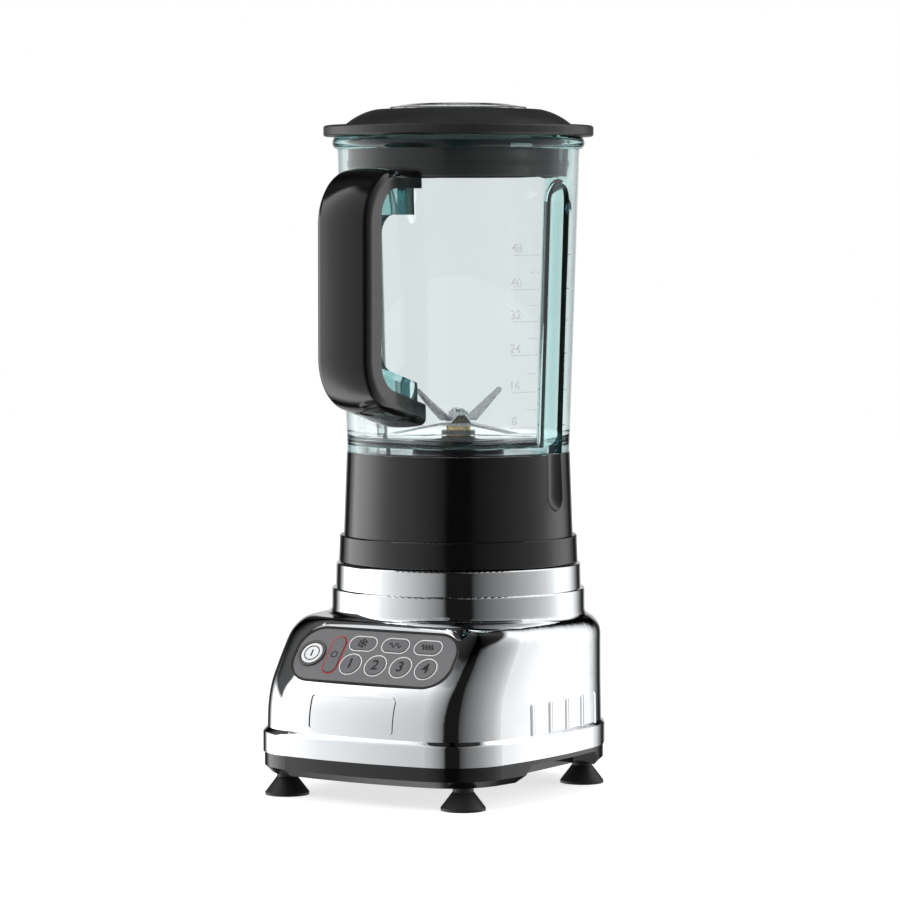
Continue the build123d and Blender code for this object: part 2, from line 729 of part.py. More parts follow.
with BuildPart() as base_plate:
    add(plate_block.part)
    extrude(hood_section(SKIRT_BOTTOM, LIP_DEPTH), amount=PLATE_LIP_H)
    extrude(hood_section(PLATE_FLOOR, TRAY_DEPTH), amount=SKIRT_BOTTOM, mode=Mode.SUBTRACT)
    with BuildSketch(level(PLATE_FLOOR)):
        with Locations(*FOOT_SPOTS):
            Circle(FOOT_HEAD_R + FIT_GAP)
    extrude(amount=FOOT_HEAD_H + DROP_GAP, mode=Mode.SUBTRACT)
    add(grip_walls.part)
    with BuildSketch(level(PLATE_FLOOR)):
        with Locations(*PLATE_SCREW_SPOTS):
            Circle(POST_R)
    extrude(amount=POST_TOP - PLATE_FLOOR)
    with BuildSketch(level(PLATE_FLOOR)):
        with PolarLocations(BOLT_CIRCLE, MOTOR_BOLTS, MOTOR_BOLT_START):
            Circle(MOUNT_R)
    extrude(amount=MOUNT_BOTTOM - PLATE_FLOOR)
    with BuildSketch(level(PLATE_FLOOR)):
        with Locations((0, -POWER_BOARD_FORWARD)):
            with Locations(*POWER_POST_SPOTS):
                Circle(POWER_POST_R)
    extrude(amount=POWER_BOARD_RISE)
    for side in (-1, 1):
        inner_end = Plane((side * GRIP_X, AXIS_Y, PLATE_BOTTOM), x_dir=(0, 1, 0), z_dir=(1, 0, 0))
        with BuildSketch(inner_end):
            with BuildLine():
                Polyline(
                    (GRIP_START, 0),
                    (GRIP_END, 0),
                    (GRIP_END - GRIP_SLANT, GRIP_H),
                    (GRIP_START + GRIP_SLANT, GRIP_H),
                    close=True,
                )
            make_face()
        extrude(amount=side * SKIRT_HALF_W, mode=Mode.SUBTRACT)
    with BuildSketch(level(PLATE_BOTTOM)):
        with Locations(*PLATE_SCREW_SPOTS):
            Circle(SCREW_HEAD_R + KEY_GAP)
    extrude(amount=PLATE_T + SCREW_HEAD_H, mode=Mode.SUBTRACT)
    with BuildSketch(level(PLATE_BOTTOM)):
        with Locations(*PLATE_SCREW_SPOTS):
            Circle(SCREW_R + FIT_GAP)
        with Locations(*FOOT_SPOTS):
            Circle(FOOT_STEM_R + FIT_GAP)
        for slot in range(VENT_SLOTS):
            with Locations(((slot - (VENT_SLOTS - 1) / 2) * VENT_PITCH, 0)):
                SlotOverall(VENT_L, VENT_W, rotation=90)
    extrude(amount=POST_TOP, mode=Mode.SUBTRACT)
keep(base_plate, "base_plate")

with BuildPart() as plate_screws:
    head_z = PLATE_BOTTOM + PLATE_T
    with BuildSketch(level(head_z)):
        with Locations(*PLATE_SCREW_SPOTS):
            Circle(SCREW_HEAD_R)
    extrude(amount=SCREW_HEAD_H)
    with BuildSketch(level(head_z)):
        with Locations(*PLATE_SCREW_SPOTS):
            Circle(SCREW_R)
    extrude(amount=POST_TOP + SCREW_BITE - SCREW_HEAD_H - head_z)
    fillet(plate_screws.edges().group_by(Axis.Z)[0], SCREW_HEAD_H / 2)
keep(plate_screws, "plate_screws")

# Suction-cup feet, pushed through the base plate from below
with BuildPart() as foot:
    with BuildSketch(Plane.XZ):
        with BuildLine():
            cup_r = FOOT_R - FOOT_LIP_W
            arch = (cup_r * FOOT_ARCH_OUT, FOOT_CUP_DEPTH * FOOT_ARCH_UP)
            ThreePointArc((0, FOOT_CUP_DEPTH), arch, (cup_r, 0))
            Polyline(
                (cup_r, 0),
                (FOOT_R, 0),
                (FOOT_R, FOOT_LIP_H),
                (FOOT_NECK_R, FOOT_CUP_H),
                (FOOT_NECK_R, PLATE_BOTTOM),
                (FOOT_STEM_R, PLATE_BOTTOM),
                (FOOT_STEM_R, PLATE_FLOOR),
                (FOOT_HEAD_R, PLATE_FLOOR),
                (FOOT_STEM_R, PLATE_FLOOR + FOOT_HEAD_H),
                (0, PLATE_FLOOR + FOOT_HEAD_H),
                (0, FOOT_CUP_DEPTH),
            )
        make_face()
    revolve(axis=Axis.Z)

with BuildPart() as feet:
    with Locations(*[(x, AXIS_Y + y, 0) for x, y in FOOT_SPOTS]):
        add(foot.part)
keep(feet, "feet")

# Inlet gland in the back wall
with BuildPart() as inlet_gland:
    flange_plane = Plane(
        (0, AXIS_Y + GLAND_WALL_Y + SEAT_GAP, GLAND_Z), x_dir=(-1, 0, 0), z_dir=(0, 1, 0)
    )
    with BuildSketch(flange_plane):
        Circle(GLAND_FLANGE_R)
    extrude(amount=GLAND_FLANGE_T)
    with BuildSketch(flange_plane):
        Circle(GLAND_R)
    extrude(amount=-GLAND_L)
    with BuildSketch(flange_plane.offset(GLAND_FLANGE_T)):
        Circle(GLAND_BORE_R)
    extrude(amount=-GLAND_L - GLAND_FLANGE_T, mode=Mode.SUBTRACT)
    fillet(inlet_gland.edges().group_by(Axis.Y)[-1], GLAND_FLANGE_T / 3)
keep(inlet_gland, "inlet_gland")

# Control panel and its keys: name, place on the panel, width and height of each key
KEYS = [
    ("power_key", POWER_KEY_P, 0, 2 * POWER_KEY_R, 2 * POWER_KEY_R),
    ("stop_key", STOP_KEY_P, 0, STOP_KEY_W, STOP_KEY_H),
]
for column, key_name in enumerate(OBLONG_KEY_NAMES):
    key_p = OBLONG_KEY_FIRST + column * OBLONG_KEY_PITCH
    KEYS.append((key_name, key_p, OBLONG_KEY_ROW, OBLONG_KEY_W, OBLONG_KEY_H))
for column in range(ROUND_KEYS):
    key_p = ROUND_KEY_FIRST + column * ROUND_KEY_PITCH
    KEYS.append((f"speed_key_{column + 1}", key_p, ROUND_KEY_ROW, 2 * ROUND_KEY_R, 2 * ROUND_KEY_R))
KEY_BACK = PANEL_T + KEY_GAP + KEY_FLANGE_T
SWITCH_TOP = BOARD_DEPTH - SWITCH_H


def key_shape(p, q, w, h, grow, depth):
    """Outline of a key, grown by an amount, at a depth under the panel's face."""
    with BuildSketch(PANEL.offset(-depth)) as shape:
        with Locations((p, q)):
            if w == h:
                Circle(w / 2 + grow)
            else:
                turn = 0 if w > h else 90
                SlotOverall(max(w, h) + 2 * grow, min(w, h) + 2 * grow, rotation=turn)
    return shape.sketch


with BuildPart() as control_panel:
    extrude(panel_shape(0, PANEL_T), amount=PANEL_T)
    with BuildSketch(PANEL):
        with Locations((POWER_KEY_P, 0)):
            Circle(POWER_RIM_R)
    extrude(amount=POWER_RIM_H)
    with BuildSketch(PANEL.offset(-PANEL_T)):
        with Locations(*BOARD_POSTS):
            Circle(BOARD_POST_R)
    extrude(amount=PANEL_T - BOARD_DEPTH)
    for _, key_p, key_q, key_w, key_h in KEYS:
        key_hole = key_shape(key_p, key_q, key_w, key_h, KEY_GAP, PANEL_T)
        extrude(key_hole, amount=PANEL_T + POWER_RIM_H, mode=Mode.SUBTRACT)
    with BuildSketch(PANEL.offset(-BOARD_DEPTH)):
        with Locations(*BOARD_POSTS):
            Circle(BOARD_SCREW_R + FIT_GAP)
    extrude(amount=BOARD_SCREW_L, mode=Mode.SUBTRACT)
keep(control_panel, "control_panel")

for key_name, key_p, key_q, key_w, key_h in KEYS:
    with BuildPart() as key:
        extrude(key_shape(key_p, key_q, key_w, key_h, 0, KEY_BACK), amount=KEY_BACK + KEY_PROUD)
        extrude(key_shape(key_p, key_q, key_w, key_h, KEY_FLANGE_W, KEY_BACK), amount=KEY_FLANGE_T)
        with BuildSketch(PANEL.offset(-KEY_BACK)):
            with Locations((key_p, key_q)):
                Circle(KEY_STEM_R)
        extrude(amount=KEY_BACK + KEY_TRAVEL + KEY_GAP - SWITCH_TOP)
        key_top = key.faces().sort_by(Axis(PANEL.origin, PANEL.z_dir))[-1]
        fillet(key_top.edges(), KEY_PROUD / 2)
    keep(key, key_name)

with BuildPart() as key_board:
    with BuildSketch(PANEL.offset(-BOARD_DEPTH)):
        RectangleRounded(BOARD_W, BOARD_H, BOARD_CORNER_R)
        with Locations(*BOARD_POSTS):
            Circle(BOARD_SCREW_R + FIT_GAP, mode=Mode.SUBTRACT)
    extrude(amount=-BOARD_T)
keep(key_board, "key_board")

with BuildPart() as key_switches:
    with BuildSketch(PANEL.offset(-BOARD_DEPTH)):
        with Locations(*[(key_p, key_q) for _, key_p, key_q, _, _ in KEYS]):
            Rectangle(SWITCH_W, SWITCH_W)
    extrude(amount=SWITCH_H)
keep(key_switches, "key_switches")

with BuildPart() as board_screws:
    board_back = PANEL.offset(-BOARD_DEPTH - BOARD_T)
    with BuildSketch(board_back):
        with Locations(*BOARD_POSTS):
            Circle(BOARD_SCREW_HEAD_R)
    extrude(amount=-BOARD_SCREW_HEAD_H)
    with BuildSketch(board_back):
        with Locations(*BOARD_POSTS):
            Circle(BOARD_SCREW_R)
    extrude(amount=BOARD_SCREW_L)
keep(board_screws, "board_screws")

# Power board with its heat sink, in front of the motor
with BuildPart() as power_board:
    with BuildSketch(level(PLATE_FLOOR + POWER_BOARD_RISE)):
        with Locations((0, -POWER_BOARD_FORWARD)):
            Rectangle(POWER_BOARD_W, POWER_BOARD_L)
    extrude(amount=BOARD_T)
keep(power_board, "power_board")

with BuildPart() as heat_sink:
    sink_z = PLATE_FLOOR + POWER_BOARD_RISE + BOARD_T
    sink_pitch = HEAT_SINK_W / (HEAT_SINK_SLOTS + 1)
    with BuildSketch(level(sink_z)):
        with Locations((0, -POWER_BOARD_FORWARD)):
            Rectangle(HEAT_SINK_W, HEAT_SINK_L)
            with GridLocations(sink_pitch, 0, HEAT_SINK_SLOTS, 1):
                with Locations((0, -HEAT_SINK_L / 3)):
                    Rectangle(sink_pitch / 2, HEAT_SINK_L * 2 / 3, mode=Mode.SUBTRACT)
    extrude(amount=HEAT_SINK_H)
keep(heat_sink, "heat_sink")


def sector(z, inner, outer, middle, half):
    """Part of a ring at height z, half degrees to each side of its middle angle."""
    with BuildSketch(level(z)) as shape:
        with BuildLine():
            outer_arc = CenterArc((0, 0), outer, middle - half, 2 * half)
            inner_arc = CenterArc((0, 0), inner, middle - half, 2 * half)
            Line(outer_arc @ 0, inner_arc @ 0)
            Line(outer_arc @ 1, inner_arc @ 1)
        make_face()
    return shape.sketch


# Motor: stator core with two poles, and a coil round each pole
POLE_ANGLES = (90, 270)
YOKE_R = STATOR_R - STATOR_YOKE
COIL_INNER_R = STATOR_BORE_R + COIL_GAP
COIL_OUTER_R = YOKE_R - DROP_GAP
with BuildPart() as stator_core:
    revolve(ring(YOKE_R, STATOR_R, STATOR_BOTTOM, STATOR_TOP), axis=SPINDLE)
    for pole in POLE_ANGLES:
        pole_face = sector(STATOR_BOTTOM, STATOR_BORE_R, YOKE_R + OVERCUT, pole, POLE_HALF_ANGLE)
        extrude(pole_face, amount=STATOR_H)
    with BuildSketch(level(STATOR_BOTTOM)):
        with PolarLocations(BOLT_CIRCLE, MOTOR_BOLTS, MOTOR_BOLT_START):
            Circle(MOTOR_BOLT_R + RUN_GAP)
    extrude(amount=STATOR_H, mode=Mode.SUBTRACT)
keep(stator_core, "stator_core")

with BuildPart() as field_coils:
    coil_z = STATOR_BOTTOM - COIL_END_H
    core_z = STATOR_BOTTOM - KEY_GAP
    for pole in POLE_ANGLES:
        coil_face = sector(coil_z, COIL_INNER_R, COIL_OUTER_R, pole, COIL_HALF_ANGLE)
        extrude(coil_face, amount=STATOR_H + 2 * COIL_END_H)
    for pole in POLE_ANGLES:
        window = sector(core_z, COIL_INNER_R - OVERCUT, YOKE_R, pole, POLE_HALF_ANGLE + POLE_SLACK)
        extrude(window, amount=STATOR_H + 2 * KEY_GAP, mode=Mode.SUBTRACT)
keep(field_coils, "field_coils")

with BuildPart() as rotor_core:
    with BuildSketch(level(STATOR_BOTTOM)):
        Circle(ROTOR_R)
        Circle(SHAFT_R + FIT_GAP, mode=Mode.SUBTRACT)
        with PolarLocations(ROTOR_R - ROTOR_SLOT_DEPTH / 2 + OVERCUT, ROTOR_SLOTS):
            Rectangle(ROTOR_SLOT_DEPTH + 2 * OVERCUT, ROTOR_SLOT_W, mode=Mode.SUBTRACT)
    extrude(amount=STATOR_H)
keep(rotor_core, "rotor_core")

with BuildPart() as rotor_windings:
    slot_inner_r = ROTOR_R - ROTOR_SLOT_DEPTH + KEY_GAP
    for end_z in (STATOR_BOTTOM - WINDING_H + DROP_GAP, STATOR_TOP):
        end_turns = ring(SHAFT_R + FIT_GAP, WINDING_R, end_z, end_z + WINDING_H - DROP_GAP)
        revolve(end_turns, axis=SPINDLE)
    with BuildSketch(level(STATOR_BOTTOM - DROP_GAP)):
        with PolarLocations((slot_inner_r + WINDING_R) / 2, ROTOR_SLOTS):
            Rectangle(WINDING_R - slot_inner_r, ROTOR_SLOT_W - KEY_GAP)
    extrude(amount=STATOR_H + 2 * DROP_GAP)
keep(rotor_windings, "rotor_windings")

with BuildPart() as commutator:
    with BuildSketch(level(COMMUTATOR_BOTTOM)):
        Circle(COMMUTATOR_R)
        Circle(SHAFT_R + FIT_GAP, mode=Mode.SUBTRACT)
        with PolarLocations(COMMUTATOR_R, COMMUTATOR_BARS):
            Rectangle(COMMUTATOR_SLOT, DROP_GAP, mode=Mode.SUBTRACT)
    extrude(amount=COMMUTATOR_H)
keep(commutator, "commutator")

with BuildPart() as cooling_fan:
    revolve(ring(SHAFT_R + FIT_GAP, FAN_HUB_R, FAN_Z, FAN_Z + FAN_H), axis=SPINDLE)
    revolve(ring(FAN_HUB_R - OVERCUT, FAN_R, FAN_Z, FAN_Z + FAN_DISC_T), axis=SPINDLE)
    with BuildSketch(level(FAN_Z)):
        with PolarLocations((FAN_HUB_R + FAN_R) / 2 - OVERCUT, FAN_BLADES):
            Rectangle(FAN_R - FAN_HUB_R, FAN_BLADE_T)
    extrude(amount=FAN_H)
keep(cooling_fan, "cooling_fan")

with BuildPart() as motor_shaft:
    revolve(ring(0, SHAFT_R, LOWER_BEARING_Z, DOG_TOP - SHAFT_SINK), axis=SPINDLE)
keep(motor_shaft, "motor_shaft")

with BuildPart() as drive_coupling:
    revolve(ring(0, DOG_HUB_R, DOG_Z, DOG_Z + DOG_HUB_H), axis=SPINDLE)
    with BuildSketch(level(DOG_Z)):
        Circle(DOG_ROOT_R)
        with PolarLocations(DOG_ROOT_R, DOG_LOBES):
            Circle(DOG_LOBE_R)
    extrude(amount=DOG_HUB_H + DOG_H)
    chamfer(drive_coupling.edges().group_by(Axis.Z)[-1], DOG_HUB_H / 4)
    revolve(ring(0, SHAFT_R + FIT_GAP, DOG_Z, DOG_TOP - SHAFT_SINK), axis=SPINDLE, mode=Mode.SUBTRACT)
keep(drive_coupling, "drive_coupling")

with BuildPart() as motor_bearings:
    for bearing_z in (LOWER_BEARING_Z, UPPER_BEARING_Z):
        bearing = ring(SHAFT_R + RUN_GAP, BEARING_R, bearing_z, bearing_z + BEARING_H)
        revolve(bearing, axis=SPINDLE)
keep(motor_bearings, "motor_bearings")

# Brackets above and below the stator, joined through it by four long bolts
BRACKET_HUB_R = BEARING_R + BRACKET_HUB_WALL
BRACKET_POST_R = STATOR_YOKE / 2
UPPER_ARM_TOP = UPPER_BEARING_Z + BRACKET_ARM_T
BOLT_END = STATOR_BOTTOM - MOTOR_BOLT_BITE
HOLDER_Z = LOWER_BEARING_Z + BRACKET_ARM_T
BRUSH_Z = COMMUTATOR_BOTTOM + COMMUTATOR_H / 2 - BRUSH_H / 2
HOLDER_INNER_R = COMMUTATOR_R + HOLDER_GAP
HOLDER_OUTER_R = HOLDER_INNER_R + HOLDER_L


def bracket_sketch(z, middle_r):
    """Four arms round a middle disc that holds a motor bearing."""
    with BuildSketch(level(z)) as arms:
        Circle(middle_r)
        with PolarLocations(BOLT_CIRCLE / 2, MOTOR_BOLTS, MOTOR_BOLT_START):
            Rectangle(BOLT_CIRCLE, BRACKET_ARM_W)
        with PolarLocations(BOLT_CIRCLE, MOTOR_BOLTS, MOTOR_BOLT_START):
            Circle(BRACKET_ARM_W / 2)
        Circle(BEARING_R + FIT_GAP, mode=Mode.SUBTRACT)
    return arms.sketch


with BuildPart() as upper_bracket:
    extrude(bracket_sketch(UPPER_BEARING_Z, BRACKET_HUB_R), amount=BRACKET_ARM_T)
    hub = ring(BEARING_R + FIT_GAP, BRACKET_HUB_R, UPPER_BEARING_Z, UPPER_BEARING_Z + BEARING_H)
    revolve(hub, axis=SPINDLE)
    with BuildSketch(level(STATOR_TOP)):
        with PolarLocations(BOLT_CIRCLE, MOTOR_BOLTS, MOTOR_BOLT_START):
            Circle(BRACKET_POST_R)
    extrude(amount=UPPER_BEARING_Z - STATOR_TOP)
    with BuildSketch(level(STATOR_TOP)):
        with PolarLocations(BOLT_CIRCLE, MOTOR_BOLTS, MOTOR_BOLT_START):
            Circle(MOTOR_BOLT_R + RUN_GAP)
    extrude(amount=UPPER_ARM_TOP - STATOR_TOP, mode=Mode.SUBTRACT)
keep(upper_bracket, "upper_bracket")

with BuildPart() as lower_bracket:
    extrude(bracket_sketch(LOWER_BEARING_Z, HOLDER_OUTER_R), amount=BRACKET_ARM_T)
    hub = ring(BEARING_R + FIT_GAP, BRACKET_HUB_R, LOWER_BEARING_Z, LOWER_BEARING_Z + BEARING_H)
    revolve(hub, axis=SPINDLE)
    with BuildSketch(level(LOWER_BEARING_Z)):
        with PolarLocations(BOLT_CIRCLE, MOTOR_BOLTS, MOTOR_BOLT_START):
            Circle(BRACKET_POST_R)
    extrude(amount=STATOR_BOTTOM - LOWER_BEARING_Z)
    with BuildSketch(level(STATOR_BOTTOM)):
        with PolarLocations(BOLT_CIRCLE, MOTOR_BOLTS, MOTOR_BOLT_START):
            Circle(MOTOR_BOLT_R + RUN_GAP)
    extrude(amount=-MOTOR_BOLT_BITE, mode=Mode.SUBTRACT)
keep(lower_bracket, "lower_bracket")

with BuildPart() as motor_bolts:
    with BuildSketch(level(UPPER_ARM_TOP)):
        with PolarLocations(BOLT_CIRCLE, MOTOR_BOLTS, MOTOR_BOLT_START):
            Circle(MOTOR_BOLT_HEAD_R)
    extrude(amount=MOTOR_BOLT_HEAD_H)
    with BuildSketch(level(UPPER_ARM_TOP)):
        with PolarLocations(BOLT_CIRCLE, MOTOR_BOLTS, MOTOR_BOLT_START):
            Circle(MOTOR_BOLT_R)
    extrude(amount=BOLT_END - UPPER_ARM_TOP)
keep(motor_bolts, "motor_bolts")

with BuildPart() as motor_mounts:
    with BuildSketch(level(MOUNT_BOTTOM)):
        with PolarLocations(BOLT_CIRCLE, MOTOR_BOLTS, MOTOR_BOLT_START):
            Circle(MOUNT_R)
    extrude(amount=MOUNT_H)
    fillet(motor_mounts.edges(), MOUNT_EDGE_R)
keep(motor_mounts, "motor_mounts")

with BuildPart() as brush_holders:
    holder_r = (HOLDER_INNER_R + HOLDER_OUTER_R) / 2
    with BuildSketch(level(HOLDER_Z)):
        with PolarLocations(holder_r, BRUSHES):
            Rectangle(HOLDER_L, BRUSH_W + 2 * HOLDER_WALL)
    extrude(amount=BRUSH_Z + BRUSH_H + HOLDER_WALL - HOLDER_Z)
    with BuildSketch(level(BRUSH_Z - FIT_GAP)):
        with PolarLocations(holder_r, BRUSHES):
            Rectangle(HOLDER_L + 2 * OVERCUT, BRUSH_W + 2 * FIT_GAP)
    extrude(amount=BRUSH_H + 2 * FIT_GAP, mode=Mode.SUBTRACT)
    hub_room = ring(0, BRACKET_HUB_R + FIT_GAP, HOLDER_Z, LOWER_BEARING_Z + BEARING_H)
    revolve(hub_room, axis=SPINDLE, mode=Mode.SUBTRACT)
keep(brush_holders, "brush_holders")

with BuildPart() as brushes:
    with BuildSketch(level(BRUSH_Z)):
        with PolarLocations(COMMUTATOR_R + RUN_GAP + BRUSH_L / 2, BRUSHES):
            Rectangle(BRUSH_L, BRUSH_W)
    extrude(amount=BRUSH_H)
keep(brushes, "brushes")

# Collar: keyed spigot below, channel for the glass neck above, floor for the blade bearing
CHANNEL_R = NECK_OUTER_R + DROP_GAP
BOSS_R = NECK_INNER_R - DROP_GAP
LEDGE_BOTTOM = GASKET_Z - LEDGE_T
LUG_Z = NECK_BOTTOM + LUG_RISE
LUG_GROOVE_R = NECK_OUTER_R + LUG_PROUD + DROP_GAP
LUG_HALF_ANGLE = degrees(LUG_W / NECK_OUTER_R) / 2
LUG_ANGLES = [LUG_FIRST + lug * 360 / LUGS for lug in range(LUGS)]
SLOT_HALF_ANGLE = LUG_HALF_ANGLE + LUG_SLACK
FLOOR_HOLE_R = HUB_TUBE_R + FIT_GAP
with BuildPart() as collar:
    collar_profile = section(
        (CHANNEL_R, COLLAR_TOP),
        (COLLAR_R_TOP, COLLAR_TOP),
        (COLLAR_R_STEP, COLLAR_STEP_Z),
        (STEP_R_TOP, COLLAR_STEP_Z),
        (STEP_R_BOTTOM, COLLAR_BOTTOM),
        (SPIGOT_R, COLLAR_BOTTOM),
        (SPIGOT_R, SPIGOT_BOTTOM),
        (SPIGOT_INNER_R, SPIGOT_BOTTOM),
        (SPIGOT_INNER_R, LEDGE_BOTTOM),
        (BOSS_R - BOSS_WALL, LEDGE_BOTTOM),
        (BOSS_R - BOSS_WALL, FLOOR_Z - FLOOR_T),
        (FLOOR_HOLE_R, FLOOR_Z - FLOOR_T),
        (FLOOR_HOLE_R, FLOOR_Z),
        (BOSS_R, FLOOR_Z),
        (BOSS_R, GASKET_Z),
        (CHANNEL_R, GASKET_Z),
    )
    revolve(collar_profile, axis=SPINDLE)
    outer_rims = [
        edge
        for edge in collar.edges().filter_by(GeomType.CIRCLE)
        if min(abs(edge.radius - STEP_R_TOP), abs(edge.radius - STEP_R_BOTTOM)) < FIT_GAP
    ]
    fillet(outer_rims, COLLAR_EDGE_R)
    for side in (-1, 1):
        flute_x = side * (COLLAR_R_TOP + FLUTE_R - COLLAR_FLUTE_DEPTH)
        flute_z = COLLAR_FLUTE_END + FLUTE_R
        with Locations((flute_x, AXIS_Y, flute_z)):
            Sphere(FLUTE_R, mode=Mode.SUBTRACT)
            Cylinder(
                FLUTE_R,
                COLLAR_TOP,
                align=(Align.CENTER, Align.CENTER, Align.MIN),
                mode=Mode.SUBTRACT,
            )
    lug_groove = ring(CHANNEL_R - OVERCUT, LUG_GROOVE_R, LUG_Z - DROP_GAP, LUG_Z + LUG_H + DROP_GAP)
    revolve(lug_groove, axis=SPINDLE, mode=Mode.SUBTRACT)
    for angle in LUG_ANGLES:
        entry = sector(LUG_Z, CHANNEL_R - OVERCUT, LUG_GROOVE_R, angle + LUG_TURN, SLOT_HALF_ANGLE)
        extrude(entry, amount=COLLAR_TOP, mode=Mode.SUBTRACT)
    with BuildSketch(level(SPIGOT_BOTTOM)):
        with PolarLocations(SPIGOT_R, SEAT_KEYS):
            Rectangle(2 * SEAT_KEY_PROUD + 2 * DROP_GAP, SEAT_KEY_W + 2 * DROP_GAP)
    extrude(amount=COLLAR_BOTTOM - SPIGOT_BOTTOM, mode=Mode.SUBTRACT)
keep(collar, "collar")

with BuildPart() as jug_gasket:
    revolve(ring(BOSS_R + FIT_GAP, CHANNEL_R - FIT_GAP, GASKET_Z, GASKET_Z + GASKET_T), axis=SPINDLE)
keep(jug_gasket, "jug_gasket")

# Bearing housing, its nut, bushes and seal
with BuildPart() as bearing_housing:
    with BuildSketch(SECTION):
        with BuildLine():
            cone_top = FLOOR_Z + HUB_CONE_H
            flange_top = FLOOR_Z + HUB_FLANGE_T
            waist_r = HUB_NECK_R + (HUB_FLANGE_R - HUB_NECK_R) / 3
            waist_z = flange_top + (cone_top - flange_top) / 3
            ThreePointArc((HUB_FLANGE_R, flange_top), (waist_r, waist_z), (HUB_NECK_R, cone_top))
            Polyline(
                (HUB_NECK_R, cone_top),
                (HUB_NECK_R, HUB_TOP),
                (BUSH_R + FIT_GAP, HUB_TOP),
                (BUSH_R + FIT_GAP, HUB_BOTTOM),
                (HUB_TUBE_R, HUB_BOTTOM),
                (HUB_TUBE_R, FLOOR_Z),
                (HUB_FLANGE_R, FLOOR_Z),
                (HUB_FLANGE_R, flange_top),
            )
        make_face()
    revolve(axis=SPINDLE)
keep(bearing_housing, "bearing_housing")

with BuildPart() as hub_nut:
    with BuildSketch(level(FLOOR_Z - FLOOR_T)):
        RegularPolygon(HUB_NUT_R, 6)
        Circle(HUB_TUBE_R + FIT_GAP, mode=Mode.SUBTRACT)
    extrude(amount=-HUB_NUT_H)
keep(hub_nut, "hub_nut")

with BuildPart() as upper_bush:
    revolve(ring(SHAFT_R + RUN_GAP, BUSH_R, HUB_TOP - BUSH_H, HUB_TOP), axis=SPINDLE)
    bush_flange = ring(SHAFT_R + RUN_GAP, BUSH_FLANGE_R, HUB_TOP, HUB_TOP + BUSH_FLANGE_H)
    revolve(bush_flange, axis=SPINDLE)
keep(upper_bush, "upper_bush")

with BuildPart() as lower_bush:
    revolve(ring(SHAFT_R + RUN_GAP, BUSH_R, HUB_BOTTOM, HUB_BOTTOM + BUSH_H), axis=SPINDLE)
keep(lower_bush, "lower_bush")

with BuildPart() as shaft_seal:
    seal_top = HUB_TOP - BUSH_H - FIT_GAP
    revolve(ring(SHAFT_R + RUN_GAP, BUSH_R, seal_top - SEAL_H, seal_top), axis=SPINDLE)
keep(shaft_seal, "shaft_seal")

# Blade shaft with the driven half of the coupling
SOCKET_CEILING = SOCKET_BOTTOM + SOCKET_DEPTH
with BuildPart() as blade_shaft:
    revolve(ring(0, SHAFT_R, SOCKET_CEILING, NUT_Z + BLADE_NUT_H + SHAFT_CROWN), axis=SPINDLE)
    fillet(blade_shaft.edges().group_by(Axis.Z)[-1], SHAFT_CROWN)
keep(blade_shaft, "blade_shaft")

with BuildPart() as driven_coupling:
    revolve(ring(0, SOCKET_R, SOCKET_BOTTOM, SOCKET_TOP), axis=SPINDLE)
    with BuildSketch(level(SOCKET_BOTTOM)):
        Circle(DOG_ROOT_R + KEY_GAP)
        with PolarLocations(DOG_ROOT_R, DOG_LOBES):
            Circle(DOG_LOBE_R + KEY_GAP)
    extrude(amount=SOCKET_DEPTH, mode=Mode.SUBTRACT)
    shaft_hole = ring(0, SHAFT_R + FIT_GAP, SOCKET_CEILING, SOCKET_TOP)
    revolve(shaft_hole, axis=SPINDLE, mode=Mode.SUBTRACT)
keep(driven_coupling, "driven_coupling")


def blade(z, reach, rise, turn):
    """Two-armed blade of bent sheet: flat in the middle, arms sloping to narrower tips."""
    heading = (cos(radians(turn)), sin(radians(turn)), 0)
    across = (sin(radians(turn)), -cos(radians(turn)), 0)
    run = reach - BLADE_FLAT
    lift = BLADE_T * sqrt(run**2 + rise**2) / run
    with BuildPart() as strip:
        with BuildSketch(Plane((0, AXIS_Y, z), x_dir=heading, z_dir=across)):
            with BuildLine():
                Polyline(
                    (-reach, rise),
                    (-BLADE_FLAT, 0),
                    (BLADE_FLAT, 0),
                    (reach, rise),
                    (reach, rise + lift),
                    (BLADE_FLAT, BLADE_T),
                    (-BLADE_FLAT, BLADE_T),
                    (-reach, rise + lift),
                    close=True,
                )
            make_face()
        extrude(amount=BLADE_W / 2, both=True)
        with BuildSketch(Plane((0, AXIS_Y, z - reach), x_dir=heading, z_dir=(0, 0, 1))):
            with BuildLine():
                Polyline(
                    (-reach, BLADE_W / 2 - BLADE_TIP_W),
                    (-BLADE_FLAT, -BLADE_W / 2),
                    (reach, -BLADE_W / 2),
                    (reach, BLADE_TIP_W - BLADE_W / 2),
                    (BLADE_FLAT, BLADE_W / 2),
                    (-reach, BLADE_W / 2),
                    close=True,
                )
            make_face()
            Circle(SHAFT_R + FIT_GAP, mode=Mode.SUBTRACT)
        extrude(amount=2 * reach, mode=Mode.INTERSECT)
    return strip


long_blade = blade(BLADE_STACK[0], LONG_BLADE_REACH, LONG_BLADE_RISE, LONG_BLADE_TURN)
keep(long_blade, "long_blade")
side_blade = blade(BLADE_STACK[1], SIDE_BLADE_REACH, SIDE_BLADE_RISE, SIDE_BLADE_TURN)
keep(side_blade, "side_blade")
up_blade = blade(BLADE_STACK[2], UP_BLADE_REACH, UP_BLADE_RISE, UP_BLADE_TURN)
keep(up_blade, "up_blade")

with BuildPart() as blade_nut:
    with BuildSketch(level(NUT_Z)):
        RegularPolygon(BLADE_NUT_R, 6)
        Circle(SHAFT_R + FIT_GAP, mode=Mode.SUBTRACT)
    extrude(amount=BLADE_NUT_H)
keep(blade_nut, "blade_nut")


